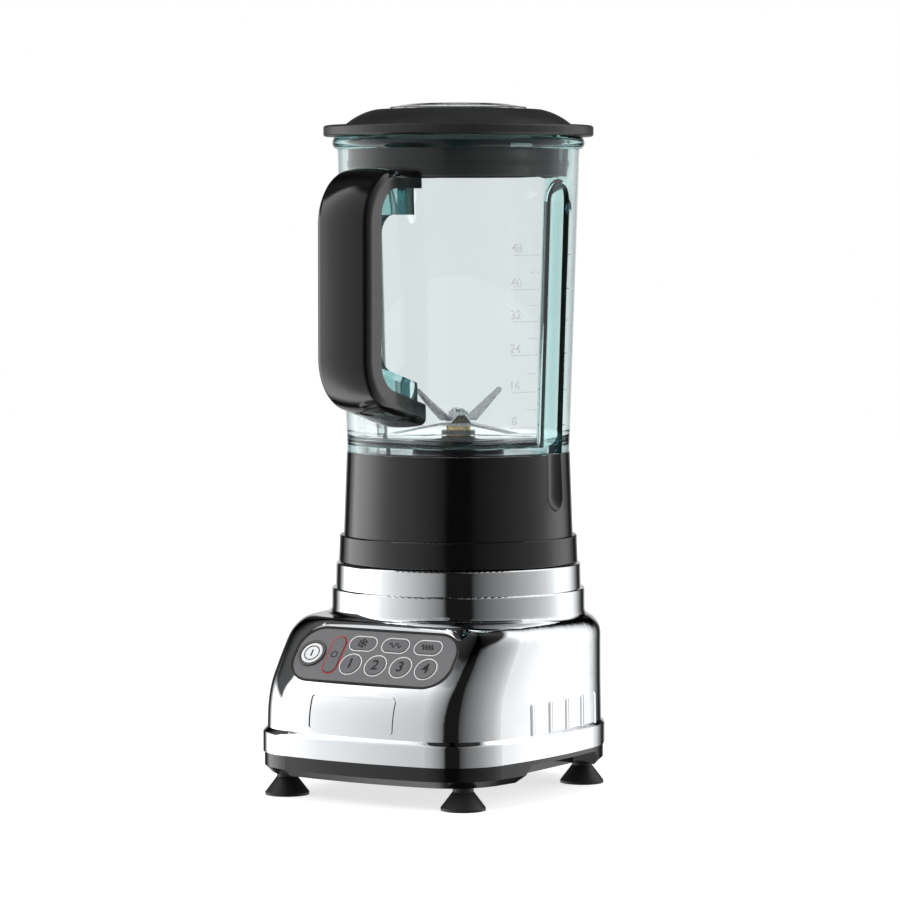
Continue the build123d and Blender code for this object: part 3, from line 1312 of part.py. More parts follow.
# Glass jug: body with neck and rim bead, a flute down each side, and a bow for the handle
SLOPE = radians(HANDLE_SLOPE)
JUG_TOP_R = JUG_R_BOTTOM + JUG_TAPER * (RIM_TOP - JUG_BOTTOM)
BEAD_MID = (BEAD_BOTTOM + RIM_TOP) / 2
BEAD_TOP_R = BEAD_R - BEAD_FALL
HEEL_Z = JUG_BOTTOM + HEEL_STEP
HEEL_TOP = HEEL_Z + HEEL_RISE
FLUTE_TOP = JUG_FLUTE_TOP - sqrt(JUG_FLUTE_DEPTH * (2 * FLUTE_R - JUG_FLUTE_DEPTH))
BORE_START = JUG_R_BOTTOM - GLASS_WALL / 2


def jug_r(z):
    """Outer radius of the tapering glass at height z."""
    return JUG_R_BOTTOM + JUG_TAPER * (z - JUG_BOTTOM)


def flute(side, radius, top):
    """Round-ended rod that follows one side of the taper, for a flute or the wall behind it."""
    foot_z = JUG_BOTTOM - FLUTE_R
    offset = FLUTE_R - JUG_FLUTE_DEPTH
    foot = Vector(side * (jug_r(foot_z) + offset), AXIS_Y, foot_z)
    head = Vector(side * (jug_r(top) + offset), AXIS_Y, top)
    with BuildPart() as rod:
        with BuildSketch(Plane(foot, z_dir=head - foot)):
            Circle(radius)
        extrude(amount=(head - foot).length)
        with Locations(head):
            Sphere(radius)
    return rod.part


def handle_outline(inner, reach, top, low, corner_r):
    """Side view of the handle out to a reach, its lower edge rising outwards."""
    with BuildSketch(SIDE_VIEW) as outline:
        with BuildLine():
            Polyline(
                (inner, top),
                (reach, top),
                (reach, low + (reach - JUG_R_BOTTOM) * tan(SLOPE)),
                (inner, low + (inner - JUG_R_BOTTOM) * tan(SLOPE)),
                close=True,
            )
        make_face()
        outer_corners = [corner for corner in outline.vertices() if corner.X > reach - FIT_GAP]
        fillet(outer_corners, corner_r)
    return outline.sketch


def cover_inside(inner, grow):
    """Side view of the room inside the handle cover, grown by an amount."""
    return handle_outline(
        inner,
        HANDLE_REACH - COVER_DEPTH + grow,
        HANDLE_TOP - COVER_TOP_T + grow,
        HANDLE_LOW + COVER_LOW_T - grow / cos(SLOPE),
        COVER_INNER_CORNER_R + grow,
    )


HANDLE_INSIDE = handle_outline(
    0,
    HANDLE_REACH - COVER_DEPTH - BOW_DEPTH,
    HANDLE_TOP - COVER_TOP_T - BOW_TOP_T,
    HANDLE_LOW + COVER_LOW_T + BOW_LOW_T,
    BOW_CORNER_R,
)
SCREW_LINE_Z = HANDLE_LOW + (HANDLE_SCREW_FORWARD - JUG_R_BOTTOM) * tan(SLOPE)
HANDLE_SCREW_PLANE = Plane(
    (0, AXIS_Y - HANDLE_SCREW_FORWARD, SCREW_LINE_Z),
    x_dir=(1, 0, 0),
    z_dir=(0, sin(SLOPE), cos(SLOPE)),
)
TONGUE_DEPTH = COVER_LOW_T * cos(SLOPE) - TONGUE
HANDLE_SCREW_END = TONGUE_DEPTH + HANDLE_SCREW_BITE

with BuildPart() as jug_bore:
    with BuildSketch(SECTION):
        with BuildLine():
            heel_r = jug_r(HEEL_TOP) - GLASS_WALL
            heel_mid = (heel_r - (heel_r - NECK_INNER_R) / 4, HEEL_Z + HEEL_RISE / 4)
            ThreePointArc((NECK_INNER_R, HEEL_Z), heel_mid, (heel_r, HEEL_TOP))
            Polyline(
                (heel_r, HEEL_TOP),
                (JUG_TOP_R - GLASS_WALL, RIM_TOP),
                (JUG_TOP_R - GLASS_WALL, RIM_TOP + OVERCUT),
                (0, RIM_TOP + OVERCUT),
                (0, NECK_BOTTOM - OVERCUT),
                (NECK_INNER_R, NECK_BOTTOM - OVERCUT),
                (NECK_INNER_R, HEEL_Z),
            )
        make_face()
    revolve(axis=SPINDLE)
    for side in (-1, 1):
        add(flute(side, FLUTE_R + GLASS_WALL, FLUTE_TOP), mode=Mode.SUBTRACT)

with BuildPart() as glass_jug:
    with BuildSketch(SECTION):
        with BuildLine():
            ThreePointArc((JUG_R_TOP, BEAD_BOTTOM), (BEAD_R, BEAD_MID), (BEAD_TOP_R, RIM_TOP))
            Polyline(
                (BEAD_TOP_R, RIM_TOP),
                (0, RIM_TOP),
                (0, NECK_BOTTOM),
                (NECK_OUTER_R, NECK_BOTTOM),
                (NECK_OUTER_R, JUG_BOTTOM),
                (JUG_R_BOTTOM, JUG_BOTTOM),
                (JUG_R_TOP, BEAD_BOTTOM),
            )
        make_face()
    revolve(axis=SPINDLE)
    for side in (-1, 1):
        add(flute(side, FLUTE_R, FLUTE_TOP), mode=Mode.SUBTRACT)
    for angle in LUG_ANGLES:
        lug = sector(LUG_Z, NECK_OUTER_R - OVERCUT, NECK_OUTER_R + LUG_PROUD, angle, LUG_HALF_ANGLE)
        extrude(lug, amount=LUG_H)

with BuildPart() as bow:
    extrude(cover_inside(BORE_START, TONGUE), amount=BOW_W / 2, both=True)
    extrude(HANDLE_INSIDE, amount=BOW_W, both=True, mode=Mode.SUBTRACT)
    with BuildSketch(HANDLE_SCREW_PLANE):
        Circle(HANDLE_SCREW_R + FIT_GAP)
    extrude(amount=HANDLE_SCREW_END, mode=Mode.SUBTRACT)

with BuildPart() as jug_body:
    add(glass_jug.part)
    add(bow.part)
    add(jug_bore.part, mode=Mode.SUBTRACT)
keep(jug_body, "glass_jug")

# Black cover over the bow, held from below by one screw
with BuildPart() as handle_cover:
    with BuildLine(SIDE_VIEW) as cover_line:
        FilletPolyline(
            (NECK_INNER_R, HANDLE_TOP),
            (HANDLE_REACH, HANDLE_TOP),
            (HANDLE_REACH, HANDLE_LOW + (HANDLE_REACH - JUG_R_BOTTOM) * tan(SLOPE)),
            (NECK_INNER_R, HANDLE_LOW + (NECK_INNER_R - JUG_R_BOTTOM) * tan(SLOPE)),
            radius=HANDLE_CORNER_R,
        )
    with BuildSketch(Plane(cover_line.line @ 0, x_dir=(-1, 0, 0), z_dir=cover_line.line % 0)) as bar:
        with BuildLine():
            half_w = COVER_W / 2
            ThreePointArc((-half_w, COVER_BOW), (0, 0), (half_w, COVER_BOW))
            Polyline(
                (half_w, COVER_BOW), (half_w, COVER_BAR_T), (-half_w, COVER_BAR_T), (-half_w, COVER_BOW)
            )
        make_face()
        fillet(bar.vertices().group_by(Axis.Y)[0], COVER_EDGE_R)
    sweep(bar.sketch, path=cover_line.line)
    extrude(cover_inside(0, 0), amount=COVER_W, both=True, mode=Mode.SUBTRACT)
    channel = cover_inside(0, TONGUE + FIT_GAP)
    extrude(channel, amount=BOW_W / 2 + FIT_GAP, both=True, mode=Mode.SUBTRACT)
    glass_room = section(
        (0, JUG_BOTTOM),
        (JUG_R_BOTTOM + FIT_GAP, JUG_BOTTOM),
        (JUG_TOP_R + FIT_GAP, RIM_TOP),
        (0, RIM_TOP),
    )
    revolve(glass_room, axis=SPINDLE, mode=Mode.SUBTRACT)
    with BuildSketch(HANDLE_SCREW_PLANE):
        Circle(HANDLE_SCREW_HEAD_R + KEY_GAP)
    extrude(amount=HANDLE_SCREW_SINK, mode=Mode.SUBTRACT)
    with BuildSketch(HANDLE_SCREW_PLANE):
        Circle(HANDLE_SCREW_R + FIT_GAP)
    extrude(amount=HANDLE_SCREW_END, mode=Mode.SUBTRACT)
keep(handle_cover, "handle_cover")

with BuildPart() as handle_screw:
    with BuildSketch(HANDLE_SCREW_PLANE.offset(HANDLE_SCREW_SINK)):
        Circle(HANDLE_SCREW_HEAD_R)
    extrude(amount=-HANDLE_SCREW_HEAD_H)
    with BuildSketch(HANDLE_SCREW_PLANE.offset(HANDLE_SCREW_SINK)):
        Circle(HANDLE_SCREW_R)
    extrude(amount=HANDLE_SCREW_END - HANDLE_SCREW_SINK)
keep(handle_screw, "handle_screw")

# Lid with its plug and filler tube, the seal round the plug, and the clear filler cap
FLANGE_TOP = LID_FLANGE_Z + LID_FLANGE_T
PLUG_BOTTOM = LID_FLANGE_Z - LID_PLUG_DEPTH
PLUG_R = jug_r(PLUG_BOTTOM) - GLASS_WALL - LID_PLUG_GAP
PLUG_INNER_R = PLUG_R - LID_PLUG_WALL
SEAL_TOP = LID_FLANGE_Z - LID_SEAL_DROP
SEAL_BOTTOM = SEAL_TOP - LID_SEAL_H
SEAL_INNER_R = PLUG_R - LID_SEAL_DEPTH
SEAL_R = jug_r(SEAL_BOTTOM) - GLASS_WALL - LID_SEAL_GAP
with BuildPart() as lid:
    with BuildSketch(SECTION):
        with BuildLine():
            dome_mid = (
                (LID_DOME_FOOT_R + LID_CROWN_R) / 2 + LID_DOME_BULGE,
                FLANGE_TOP + LID_DOME_H / 2 + LID_DOME_BULGE,
            )
            ThreePointArc((LID_DOME_FOOT_R, FLANGE_TOP), dome_mid, (LID_CROWN_R, LID_TOP))
            Polyline(
                (LID_CROWN_R, LID_TOP),
                (FILLER_R, LID_TOP),
                (FILLER_R, LID_TOP - FILLER_TUBE_H),
                (FILLER_R + FILLER_TUBE_T, LID_TOP - FILLER_TUBE_H),
                (FILLER_R + FILLER_TUBE_T, LID_TOP - LID_TOP_T),
                (LID_CROWN_R - LID_TOP_T / 4, LID_TOP - LID_TOP_T),
                (PLUG_INNER_R, FLANGE_TOP - LID_TOP_T),
                (PLUG_INNER_R, PLUG_BOTTOM),
                (PLUG_R, PLUG_BOTTOM),
                (PLUG_R, SEAL_BOTTOM),
                (SEAL_INNER_R, SEAL_BOTTOM),
                (SEAL_INNER_R, SEAL_TOP),
                (PLUG_R, SEAL_TOP),
                (PLUG_R, LID_FLANGE_Z),
                (LID_R, LID_FLANGE_Z),
                (LID_R, FLANGE_TOP),
                (LID_DOME_FOOT_R, FLANGE_TOP),
            )
        make_face()
    revolve(axis=SPINDLE)
    flange_rims = [
        edge
        for edge in lid.edges().filter_by(GeomType.CIRCLE)
        if abs(edge.radius - LID_R) < FIT_GAP
    ]
    fillet(flange_rims, LID_EDGE_R)
keep(lid, "lid")

with BuildPart() as lid_seal:
    revolve(ring(SEAL_INNER_R + FIT_GAP, SEAL_R, SEAL_BOTTOM + FIT_GAP, SEAL_TOP - FIT_GAP), axis=SPINDLE)
keep(lid_seal, "lid_seal")

CAP_Z = LID_TOP + SEAT_GAP
CAP_TOP = LID_TOP + CAP_RISE
CAP_SKIRT_R = FILLER_R - DROP_GAP
with BuildPart() as filler_cap:
    cap_profile = section(
        (0, CAP_TOP),
        (CAP_TOP_R, CAP_TOP),
        (CAP_R, CAP_Z + CAP_RIM_T),
        (CAP_R, CAP_Z),
        (CAP_SKIRT_R, CAP_Z),
        (CAP_SKIRT_R, LID_TOP - CAP_SKIRT_H),
        (CAP_SKIRT_R - CAP_WALL, LID_TOP - CAP_SKIRT_H),
        (CAP_SKIRT_R - CAP_WALL, CAP_TOP - CAP_WALL),
        (0, CAP_TOP - CAP_WALL),
    )
    revolve(cap_profile, axis=SPINDLE)
    fillet(filler_cap.edges().group_by(Axis.Z)[-1], CAP_WALL / 4)
keep(filler_cap, "filler_cap")
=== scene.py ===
import json
import math

import bmesh
import bpy
from mathutils import Matrix, Vector


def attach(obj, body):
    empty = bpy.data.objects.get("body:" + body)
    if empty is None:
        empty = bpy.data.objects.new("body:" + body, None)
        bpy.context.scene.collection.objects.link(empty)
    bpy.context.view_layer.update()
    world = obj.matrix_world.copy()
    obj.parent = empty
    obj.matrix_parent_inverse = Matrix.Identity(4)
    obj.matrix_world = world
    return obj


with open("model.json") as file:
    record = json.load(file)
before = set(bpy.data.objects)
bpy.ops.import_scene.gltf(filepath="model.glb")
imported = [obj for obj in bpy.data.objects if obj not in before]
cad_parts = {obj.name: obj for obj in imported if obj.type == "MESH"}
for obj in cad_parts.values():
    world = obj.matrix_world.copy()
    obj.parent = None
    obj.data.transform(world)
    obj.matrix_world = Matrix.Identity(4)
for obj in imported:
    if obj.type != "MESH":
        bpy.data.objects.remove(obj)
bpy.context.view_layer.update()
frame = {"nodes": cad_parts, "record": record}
nodes = frame["nodes"]

# Places of the blender that the pieces below use, in metres
AXIS_Y = 0.02345
JUG_FOOT_Z, JUG_FOOT_R = 0.1965, 0.0652
JUG_HEAD_Z, JUG_HEAD_R = 0.3733, 0.0708
PANEL_LEAN = math.radians(40)
PANEL_ORIGIN = Vector((0, AXIS_Y - 0.0909, 0.0828))
PANEL_X = Vector((1, 0, 0))
PANEL_N = Vector((0, -math.cos(PANEL_LEAN), math.sin(PANEL_LEAN)))
PANEL_UP = PANEL_N.cross(PANEL_X)

# Camera: position, aim and lens of the photograph
CAMERA_AT = Vector((1.2351, -1.9578, 0.3292))
CAMERA_AZIMUTH = math.radians(32.06)
CAMERA_TILT = math.radians(3.24)
LENS_MM, SENSOR_MM = 159.0, 36.0
TO_CAMERA = Vector((math.sin(CAMERA_AZIMUTH), -math.cos(CAMERA_AZIMUTH), 0))
TO_RIGHT = Vector((math.cos(CAMERA_AZIMUTH), math.sin(CAMERA_AZIMUTH), 0))

# Where the glass is deep: angles of the flute from the front, reach of the handle from the axis, rim heights
FLUTE_TURNS = [(-180, 0.0), (77, 0.0), (80, 1.0), (99, 1.0), (102, 0.0), (180, 0.0)]
HANDLE_REACHES = [(0.0, 0.0), (0.0715, 0.0), (0.074, 1.0), (0.12, 1.0)]
RIM_HEIGHTS = [(0.3, 0.0), (0.3712, 0.0), (0.3735, 0.7), (0.4, 0.7)]

# Range of a noise value that spreads roughness and colour, depth of fine relief, haze of clear materials
NOISE_LOW, NOISE_HIGH = 0.3, 0.7
TONE_LOW, TONE_HIGH = 0.35, 0.65
RELIEF_DEPTH = 0.0001
HAZE_SCALE, HAZE_SHARE = 25.0, 0.985


def jug_radius(z):
    """Outside radius of the glass at height z."""
    share = (z - JUG_FOOT_Z) / (JUG_HEAD_Z - JUG_FOOT_Z)
    return JUG_FOOT_R + share * (JUG_HEAD_R - JUG_FOOT_R)


def new_material(name):
    """Empty node material with its shader and output."""
    material = bpy.data.materials.new(name)
    material.use_nodes = True
    tree = material.node_tree
    shader = tree.nodes["Principled BSDF"]
    return material, tree, shader


def add(tree, kind, **values):
    """Node of a kind with its sockets or properties set."""
    node = tree.nodes.new(kind)
    for key, value in values.items():
        if hasattr(node, key):
            setattr(node, key, value)
        else:
            node.inputs[key].default_value = value
    return node


def noise(tree, scale, detail=3.0, stretch=(1, 1, 1)):
    """Noise in object space, stretched along the axes."""
    coords = add(tree, "ShaderNodeTexCoord")
    mapping = add(tree, "ShaderNodeMapping")
    mapping.inputs["Scale"].default_value = stretch
    grain = add(tree, "ShaderNodeTexNoise", Scale=scale, Detail=detail)
    tree.links.new(coords.outputs["Object"], mapping.inputs["Vector"])
    tree.links.new(mapping.outputs["Vector"], grain.inputs["Vector"])
    return grain.outputs["Fac"]


def ranged(tree, value, low, high):
    """Map a noise value to a range."""
    node = add(tree, "ShaderNodeMapRange")
    node.inputs["From Min"].default_value = NOISE_LOW
    node.inputs["From Max"].default_value = NOISE_HIGH
    node.inputs["To Min"].default_value = low
    node.inputs["To Max"].default_value = high
    tree.links.new(value, node.inputs["Value"])
    return node.outputs["Result"]


def two_tone(tree, value, first, second):
    """Colour that runs between two tones with a value."""
    ramp = add(tree, "ShaderNodeValToRGB")
    points = ramp.color_ramp.elements
    points[0].position = TONE_LOW
    points[1].position = TONE_HIGH
    points[0].color = (*first, 1)
    points[1].color = (*second, 1)
    tree.links.new(value, ramp.inputs["Fac"])
    return ramp.outputs["Color"]


def bump(tree, shader, value, strength):
    """Fine relief from a value."""
    node = add(tree, "ShaderNodeBump", Strength=strength, Distance=RELIEF_DEPTH)
    tree.links.new(value, node.inputs["Height"])
    tree.links.new(node.outputs["Normal"], shader.inputs["Normal"])


def surface(
    name, tone, other, rough, metallic=0.0, scale=60.0, grain=900.0, relief=0.1, stretch=(1, 1, 1), shine=0.5
):
    """Opaque material: colour between two tones, roughness range and fine relief."""
    material, tree, shader = new_material(name)
    shader.inputs["Specular IOR Level"].default_value = shine
    shader.inputs["Metallic"].default_value = metallic
    cloud = noise(tree, scale, stretch=stretch)
    tree.links.new(two_tone(tree, cloud, tone, other), shader.inputs["Base Color"])
    tree.links.new(ranged(tree, cloud, *rough), shader.inputs["Roughness"])
    if relief:
        bump(tree, shader, noise(tree, grain, stretch=stretch), relief)
    return material


def grey_ramp(tree, value, stops):
    """Grey level read from stops along a value that runs from the first stop to the last."""
    low, high = stops[0][0], stops[-1][0]
    spread = add(tree, "ShaderNodeMapRange")
    spread.inputs["From Min"].default_value = low
    spread.inputs["From Max"].default_value = high
    tree.links.new(value, spread.inputs["Value"])
    ramp = add(tree, "ShaderNodeValToRGB")
    points = ramp.color_ramp.elements
    while len(points) < len(stops):
        points.new(0.5)
    for point, (place, grey) in zip(points, stops):
        point.position = (place - low) / (high - low)
        point.color = (grey, grey, grey, 1)
    tree.links.new(spread.outputs["Result"], ramp.inputs["Fac"])
    return ramp.outputs["Color"]


def larger(tree, first, second):
    """Larger of two values."""
    node = add(tree, "ShaderNodeMath", operation="MAXIMUM")
    tree.links.new(first, node.inputs[0])
    tree.links.new(second, node.inputs[1])
    return node.outputs["Value"]


def degrees_round(tree, side, front):
    """Angle in degrees, from the front round to the side, of a place or direction."""
    turn = add(tree, "ShaderNodeMath", operation="ARCTAN2")
    tree.links.new(side, turn.inputs[0])
    tree.links.new(front, turn.inputs[1])
    degrees = add(tree, "ShaderNodeMath", operation="DEGREES")
    tree.links.new(turn.outputs["Value"], degrees.inputs[0])
    return degrees.outputs["Value"]


def thick_glass(tree):
    """Share of the deep glass: high in the flute, the handle and the rim, 0 in the plain wall."""
    place = add(tree, "ShaderNodeSeparateXYZ")
    tree.links.new(add(tree, "ShaderNodeTexCoord").outputs["Object"], place.inputs["Vector"])
    forward = add(tree, "ShaderNodeMath", operation="SUBTRACT")
    forward.inputs[0].default_value = AXIS_Y
    tree.links.new(place.outputs["Y"], forward.inputs[1])
    angle = degrees_round(tree, place.outputs["X"], forward.outputs["Value"])
    flute = grey_ramp(tree, angle, FLUTE_TURNS)
    handle = grey_ramp(tree, forward.outputs["Value"], HANDLE_REACHES)
    rim = grey_ramp(tree, place.outputs["Z"], RIM_HEIGHTS)
    return larger(tree, larger(tree, flute, handle), rim)


def clear(name, tint, absorb, density, ior, deep_tint=None):
    """Clear material: tinted surface with absorption inside, so that long paths go darker."""
    material, tree, shader = new_material(name)
    shader.inputs["Transmission Weight"].default_value = 1.0
    shader.inputs["IOR"].default_value = ior
    shader.inputs["Roughness"].default_value = 0.0
    cloud = noise(tree, HAZE_SCALE)
    pale = tuple(channel * HAZE_SHARE for channel in tint)
    tone = two_tone(tree, cloud, tint, pale)
    if deep_tint:
        deep = add(tree, "ShaderNodeMix", data_type="RGBA")
        tree.links.new(thick_glass(tree), deep.inputs["Factor"])
        tree.links.new(tone, deep.inputs["A"])
        deep.inputs["B"].default_value = (*deep_tint, 1)
        tone = deep.outputs["Result"]
    tree.links.new(tone, shader.inputs["Base Color"])
    inside = add(tree, "ShaderNodeVolumeAbsorption", Color=(*absorb, 1), Density=density)
    output = tree.nodes["Material Output"]
    tree.links.new(inside.outputs["Volume"], output.inputs["Volume"])
    return material


MATERIALS = {
    "chrome": surface("chrome", (0.83, 0.855, 0.88), (0.87, 0.89, 0.91), (0.02, 0.035), 1.0, 18.0, relief=0),
    "black_plastic": surface(
        "black_plastic", (0.0022, 0.0022, 0.0024), (0.0032, 0.0032, 0.0034), (0.1, 0.14), shine=0.62
    ),
    "panel_grey": surface("panel_grey", (0.13, 0.13, 0.136), (0.145, 0.145, 0.15), (0.38, 0.46)),
    "key_grey": surface("key_grey", (0.12, 0.12, 0.126), (0.135, 0.135, 0.14), (0.4, 0.5)),
    "power_silver": surface("power_silver", (0.62, 0.63, 0.65), (0.7, 0.71, 0.72), (0.2, 0.28), 0.6),
    "black_rubber": surface("black_rubber", (0.012, 0.012, 0.012), (0.02, 0.02, 0.02), (0.55, 0.7)),
    "foot_rubber": surface("foot_rubber", (0.010, 0.010, 0.010), (0.018, 0.018, 0.018), (0.42, 0.55)),
    "dark_rubber": surface("dark_rubber", (0.02, 0.02, 0.021), (0.03, 0.03, 0.03), (0.5, 0.65)),
    "seal_rubber": surface("seal_rubber", (0.5, 0.51, 0.5), (0.58, 0.58, 0.57), (0.45, 0.6)),
    "clear_glass": clear(
        "clear_glass", (0.985, 0.99, 0.99), (0.2, 0.5, 0.52), 24.0, 1.5, deep_tint=(0.6, 0.86, 0.84)
    ),
    "clear_plastic": clear("clear_plastic", (0.96, 0.965, 0.97), (0.6, 0.65, 0.68), 10.0, 1.45),
    "blade_steel": surface("blade_steel", (0.5, 0.51, 0.52), (0.62, 0.63, 0.64), (0.18, 0.3), 1.0, 300.0),
    "bright_steel": surface("bright_steel", (0.55, 0.55, 0.56), (0.66, 0.66, 0.67), (0.2, 0.3), 1.0, 200.0),
    "core_steel": surface(
        "core_steel", (0.2, 0.2, 0.21), (0.3, 0.3, 0.31), (0.4, 0.5), 0.8, 900.0, stretch=(0.02, 0.02, 1)
    ),
    "aluminium": surface("aluminium", (0.6, 0.6, 0.61), (0.7, 0.7, 0.71), (0.35, 0.45), 1.0, 150.0),
    "brass": surface("brass", (0.62, 0.44, 0.2), (0.72, 0.53, 0.26), (0.2, 0.32), 1.0, 150.0),
    "copper": surface("copper", (0.5, 0.22, 0.1), (0.62, 0.3, 0.15), (0.3, 0.4), 0.9, 900.0),
    "carbon": surface("carbon", (0.02, 0.02, 0.02), (0.03, 0.03, 0.03), (0.5, 0.6)),
    "board_green": surface("board_green", (0.02, 0.09, 0.035), (0.03, 0.12, 0.05), (0.4, 0.5)),
    "switch_black": surface("switch_black", (0.02, 0.02, 0.02), (0.03, 0.03, 0.03), (0.45, 0.55)),
    "white_plastic": surface("white_plastic", (0.7, 0.7, 0.68), (0.76, 0.76, 0.74), (0.4, 0.5)),
}
for part in frame["record"]["subparts"]:
    node = nodes[part["node"]]
    node.data.materials.clear()
    node.data.materials.append(MATERIALS[part["material_slot"]])

# Finishes of single pieces: satin lid, print on the keys, marks in the glass
SATIN_LID = surface("satin_lid", (0.013, 0.013, 0.0135), (0.017, 0.017, 0.0175), (0.34, 0.42))
DARK_PRINT = surface("dark_print", (0.008, 0.008, 0.009), (0.012, 0.012, 0.013), (0.4, 0.5))
WHITE_PRINT = surface("white_print", (0.72, 0.72, 0.73), (0.78, 0.78, 0.79), (0.4, 0.5))
RED_PRINT = surface("red_print", (0.42, 0.012, 0.016), (0.5, 0.018, 0.022), (0.35, 0.45))
FROSTED_MARKS = surface("frosted_marks", (0.6, 0.64, 0.66), (0.68, 0.71, 0.72), (0.55, 0.65))
MARK_COVER = 0.55
FROSTED_MARKS.node_tree.nodes["Principled BSDF"].inputs["Alpha"].default_value = MARK_COVER
nodes["lid"].data.materials[0] = SATIN_LID

# Fineness of outlines, waves, figures and bars, and the distance at which points count as one
CORNER_STEPS = 10
WAVE_STEPS = 10
FIGURE_STEPS = 6
BAR_STEPS = 8
JOIN_DISTANCE = 1e-7

# Figures: share of the letter size that a figure is high, and thickening as a share of its height
FIGURE_SHARE = 0.69
FIGURE_BOLD = 0.018

# Ice crystal: arms, angle of the first, and the twigs' place, length and lean on an arm
ICE_ARMS, ICE_FIRST = 6, 30
TWIG_FROM, TWIG_SHARE, TWIG_LEAN = 0.55, 0.4, 50


def link(obj):
    """Object put in the scene."""
    bpy.context.scene.collection.objects.link(obj)
    return obj


def carry(name, mesh, body, material):
    """Finished mesh as a piece that rides on a body."""
    mesh.materials.clear()
    mesh.materials.append(material)
    piece = link(bpy.data.objects.new(name, mesh))
    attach(piece, body)


def closed(name, shape, body, material):
    """Piece from a closed shape, with doubled points joined and faces turned outward."""
    bmesh.ops.remove_doubles(shape, verts=shape.verts, dist=JOIN_DISTANCE)
    bmesh.ops.recalc_face_normals(shape, faces=shape.faces)
    mesh = bpy.data.meshes.new(name)
    shape.to_mesh(mesh)
    shape.free()
    carry(name, mesh, body, material)


def on_panel(across, up, out):
    """Point over the key panel: across it, up its slope and out from its origin."""
    return PANEL_ORIGIN + PANEL_X * across + PANEL_UP * up + PANEL_N * out


def face_height(node):
    """Highest level of a node over the panel's origin."""
    return max((vertex.co - PANEL_ORIGIN).dot(PANEL_N) for vertex in nodes[node].data.vertices)


def rounded(across, up, width, height, radius, grow=0.0):
    """Outline of a rounded rectangle on the panel, grown on all sides."""
    loop = []
    signs = ((1, 1), (-1, 1), (-1, -1), (1, -1))
    for corner, (right, top) in enumerate(signs):
        for k in range(CORNER_STEPS + 1):
            turn = math.pi / 2 * (corner + k / CORNER_STEPS)
            reach = radius + grow
            x = across + right * (width / 2 - radius) + reach * math.cos(turn)
            y = up + top * (height / 2 - radius) + reach * math.sin(turn)
            loop.append((x, y))
    return loop


def round_loop(spot, radius):
    """Outline of a circle on the panel."""
    return rounded(*spot, 2 * radius, 2 * radius, radius)


def skin(shape, ring, after):
    """Faces between two closed rings of points."""
    count = len(ring)
    for j in range(count):
        shape.faces.new((ring[j], ring[(j + 1) % count], after[(j + 1) % count], after[j]))


def band(name, inner, outer, low, high, body, material):
    """Flat ring on the panel between two outlines, from a low to a high level."""
    shape = bmesh.new()
    rings = []
    for loop, level in ((inner, low), (outer, low), (outer, high), (inner, high)):
        rings.append([shape.verts.new(on_panel(x, y, level)) for x, y in loop])
    for k, ring in enumerate(rings):
        skin(shape, ring, rings[(k + 1) % len(rings)])
    closed(name, shape, body, material)


def tube(shape, rings):
    """Faces of a capped bar through rings of points."""
    for ring, after in zip(rings, rings[1:]):
        skin(shape, ring, after)
    shape.faces.new(rings[0])
    shape.faces.new(rings[-1])


def ribbons(name, lines, width, low, high, body, material):
    """Thin strips of even width on the panel along lines of points."""
    shape = bmesh.new()
    for line in lines:
        points = [Vector(point) for point in line]
        last = len(points) - 1
        rings = []
        for k, point in enumerate(points):
            run = (points[min(k + 1, last)] - points[max(k - 1, 0)]).normalized()
            side = Vector((-run.y, run.x)) * width / 2
            corners = ((point + side, low), (point - side, low), (point - side, high), (point + side, high))
            rings.append([shape.verts.new(on_panel(spot.x, spot.y, level)) for spot, level in corners])
        tube(shape, rings)
    closed(name, shape, body, material)


def figures(text, height, thick):
    """Mesh of upright figures of a height, centred on the origin and standing on z = 0."""
    curve = bpy.data.curves.new("figures", "FONT")
    curve.body = text
    curve.align_x = "CENTER"
    curve.align_y = "CENTER"
    curve.size = height / FIGURE_SHARE
    curve.extrude = thick / 2
    curve.offset = height * FIGURE_BOLD
    curve.resolution_u = FIGURE_STEPS
    holder = bpy.data.objects.new("figures", curve)
    mesh = bpy.data.meshes.new_from_object(holder)
    bpy.data.objects.remove(holder)
    bpy.data.curves.remove(curve)
    mesh.transform(Matrix.Translation((0, 0, thick / 2)))
    return mesh


def wave(across, up, length, height, turns):
    """Points of a pulse wave, centred at a place on the panel."""
    points = []
    steps = WAVE_STEPS * turns
    for k in range(steps + 1):
        share = k / steps
        rise = height / 2 * math.sin(2 * math.pi * turns * share)
        points.append((across + length * (share - 0.5), up + rise))
    return points


def heading(turn):
    """Direction on the panel at an angle in degrees."""
    return Vector((math.cos(math.radians(turn)), math.sin(math.radians(turn))))


def snowflake(across, up, reach):
    """Lines of a six-armed ice crystal, centred at a place on the panel."""
    lines = []
    centre = Vector((across, up))
    for arm in range(ICE_ARMS):
        turn = 360 / ICE_ARMS * arm + ICE_FIRST
        lines.append([centre, centre + heading(turn) * reach])
        knot = centre + heading(turn) * reach * TWIG_FROM
        for lean in (-TWIG_LEAN, TWIG_LEAN):
            lines.append([knot, knot + heading(turn + lean) * reach * TWIG_SHARE])
    return lines


